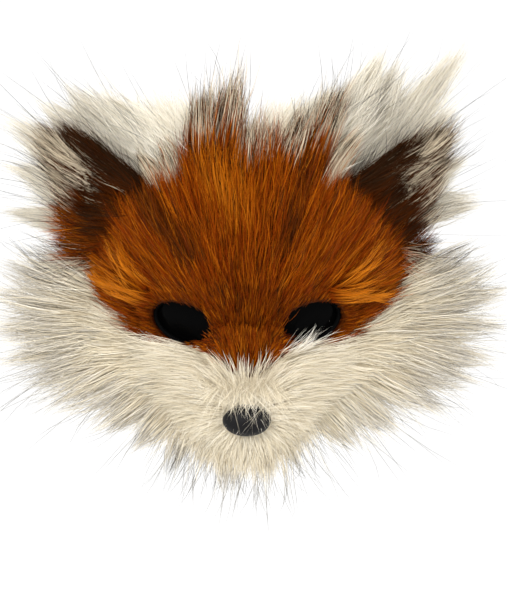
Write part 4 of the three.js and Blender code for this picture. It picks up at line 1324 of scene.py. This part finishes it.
class MASK_OT_nose(Piece, bpy.types.Operator):
    """The nose: a smooth oval pad with a fine grain"""

    bl_idname = "mask.nose"
    bl_label = "Nose"

    def execute(self, context):
        u, v = disk(28)
        rise = np.sqrt(np.maximum(1 - u**2 - v**2, 0.0))
        turn = np.array([
            [1, 0, 0],
            [0, math.cos(NOSE_TILT), math.sin(NOSE_TILT)],
            [0, -math.sin(NOSE_TILT), math.cos(NOSE_TILT)],
        ])
        seat = off_face(0.0, -NOSE_DROP, SHELL_WALL + NOSE_PROUD)
        front, back = (np.stack([u, depth, v], -1) * np.array(NOSE_SIZE) / 2 @ turn + seat
                       for depth in (-rise, rise))
        mesh = sheet_mesh("nose", closed_sheet(front, back))
        work = bmesh.new()
        work.from_mesh(mesh)
        bmesh.ops.remove_doubles(work, verts=work.verts, dist=1e-6)
        work.to_mesh(mesh)
        work.free()
        place(mesh, material("Nose Pad", nose_look), "nose_plastic", "nose_pad")
        return {"FINISHED"}


class MASK_OT_lenses(Piece, bpy.types.Operator):
    """The two dark lenses behind the eye openings"""

    bl_idname = "mask.lenses"
    bl_label = "Lenses"

    def execute(self, context):
        look = material("Lens", lens_look)
        u, v = disk(32)
        a, b = u * (EYE_SIZE[0] / 2 + LENS_LAP), v * (EYE_SIZE[1] / 2 + LENS_LAP)
        for side, name in ((-1, "left"), (1, "right")):
            x = side * EYE_SPACING / 2 + a * math.cos(EYE_SLANT) - side * b * math.sin(EYE_SLANT)
            z = side * a * math.sin(EYE_SLANT) + b * math.cos(EYE_SLANT) - EYE_DROP
            sheet = closed_sheet(off_face(x, z, -SEAT_GAP), off_face(x, z, -SEAT_GAP - LENS_WALL))
            place(sheet_mesh(f"lens_{name}", sheet), look, "lens_plastic", f"eye_lens_{name}")
        return {"FINISHED"}


class MASK_OT_shell_and_strap(Piece, bpy.types.Operator):
    """The moulded shell and the woven elastic"""

    bl_idname = "mask.shell_and_strap"
    bl_label = "Shell and Strap"

    def execute(self, context):
        sheet = face_sheet(bottom_edge, top_edge, 1.0, 0.0, SHELL_WALL, 0.0, 80, 60)
        shell = material("Moulded Plastic", shell_look)
        place(sheet_mesh("shell", sheet), shell, "shell_plastic", "mask_shell")
        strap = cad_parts["elastic_strap"]
        strap.data.materials.clear()
        strap.data.materials.append(material("Woven Elastic", elastic_look))
        return {"FINISHED"}


def add_to_scene(context, name, data):
    """A new object in the scene."""
    made = bpy.data.objects.new(name, data)
    context.scene.collection.objects.link(made)
    return made


def add_backdrop(context):
    """The pale floor that curves up into a wall, from its profile."""
    depth, height = np.array(BACKDROP).T
    rows = len(BACKDROP)
    x = np.tile([-BACKDROP_HALF_WIDTH, BACKDROP_HALF_WIDTH], rows)
    points = np.stack([x, np.repeat(depth, 2), np.repeat(height, 2) - FLOOR_DROP], -1)
    row = np.arange(rows - 1) * 2
    quads = np.stack([row, row + 1, row + 3, row + 2], -1)
    mesh = mesh_from("backdrop", points, quads.ravel(), np.full(len(quads), 4))
    mesh.materials.append(material("Backdrop", backdrop_look))
    add_to_scene(context, "backdrop", mesh)


def add_light(context, name, power, size, spot):
    """A square soft light that is aimed at the mask."""
    light = bpy.data.lights.new(name, "AREA")
    light.energy = power
    light.size = size
    lamp = add_to_scene(context, name, light)
    aim = unit(-np.array(spot))
    lamp.location = spot
    lamp.rotation_euler = (math.acos(-aim[2]), 0, math.atan2(aim[1], aim[0]) - math.pi / 2)


class MASK_OT_studio(Piece, bpy.types.Operator):
    """Pale floor that curves up into a backdrop, soft lights and the camera"""

    bl_idname = "mask.studio"
    bl_label = "Studio"

    def execute(self, context):
        scene = context.scene
        settings = scene.mask_settings
        add_backdrop(context)
        add_light(context, "key", settings.key_power, *KEY_LIGHT)
        add_light(context, "fill", settings.fill_power, *FILL_LIGHT)
        world = bpy.data.worlds.new("Surroundings")
        scene.world = world
        world.use_nodes = True
        world.node_tree.nodes["Background"].inputs["Color"].default_value = rgb(1.0, 1.0, 1.0)
        world.node_tree.nodes["Background"].inputs["Strength"].default_value = settings.sky
        scene.view_settings.view_transform = "Standard"
        camera = add_to_scene(context, "camera", bpy.data.cameras.new("camera"))
        camera.data.lens = CAMERA_LENS
        camera.data.clip_start = 0.01
        camera.location = np.array(CAMERA_PLACE) * MM
        camera.rotation_euler = (CAMERA_PITCH, 0, 0)
        scene.camera = camera
        return {"FINISHED"}


OPERATORS = (
    MASK_OT_face_fur, MASK_OT_muzzle_fur, MASK_OT_ears, MASK_OT_back_fur, MASK_OT_nose, MASK_OT_lenses,
    MASK_OT_shell_and_strap, MASK_OT_studio,
)


class MASK_PT_panel(bpy.types.Panel):
    """Builds the mask piece by piece"""

    bl_label = "Fur Half Mask"
    bl_idname = "MASK_PT_panel"
    bl_space_type = "VIEW_3D"
    bl_region_type = "UI"
    bl_category = "Mask"

    def draw(self, context):
        for name in MaskSettings.__annotations__:
            self.layout.prop(context.scene.mask_settings, name)
        for operator in OPERATORS:
            self.layout.operator(operator.bl_idname)


CLASSES = (MaskSettings, *OPERATORS, MASK_PT_panel)


def register():
    for made in CLASSES:
        bpy.utils.register_class(made)
    bpy.types.Scene.mask_settings = PointerProperty(type=MaskSettings)


def unregister():
    del bpy.types.Scene.mask_settings
    for made in reversed(CLASSES):
        bpy.utils.unregister_class(made)


def main():
    register()
    for operator in OPERATORS:
        group, name = operator.bl_idname.split(".")
        getattr(getattr(bpy.ops, group), name)()
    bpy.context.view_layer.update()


if __name__ == "__main__":
    main()
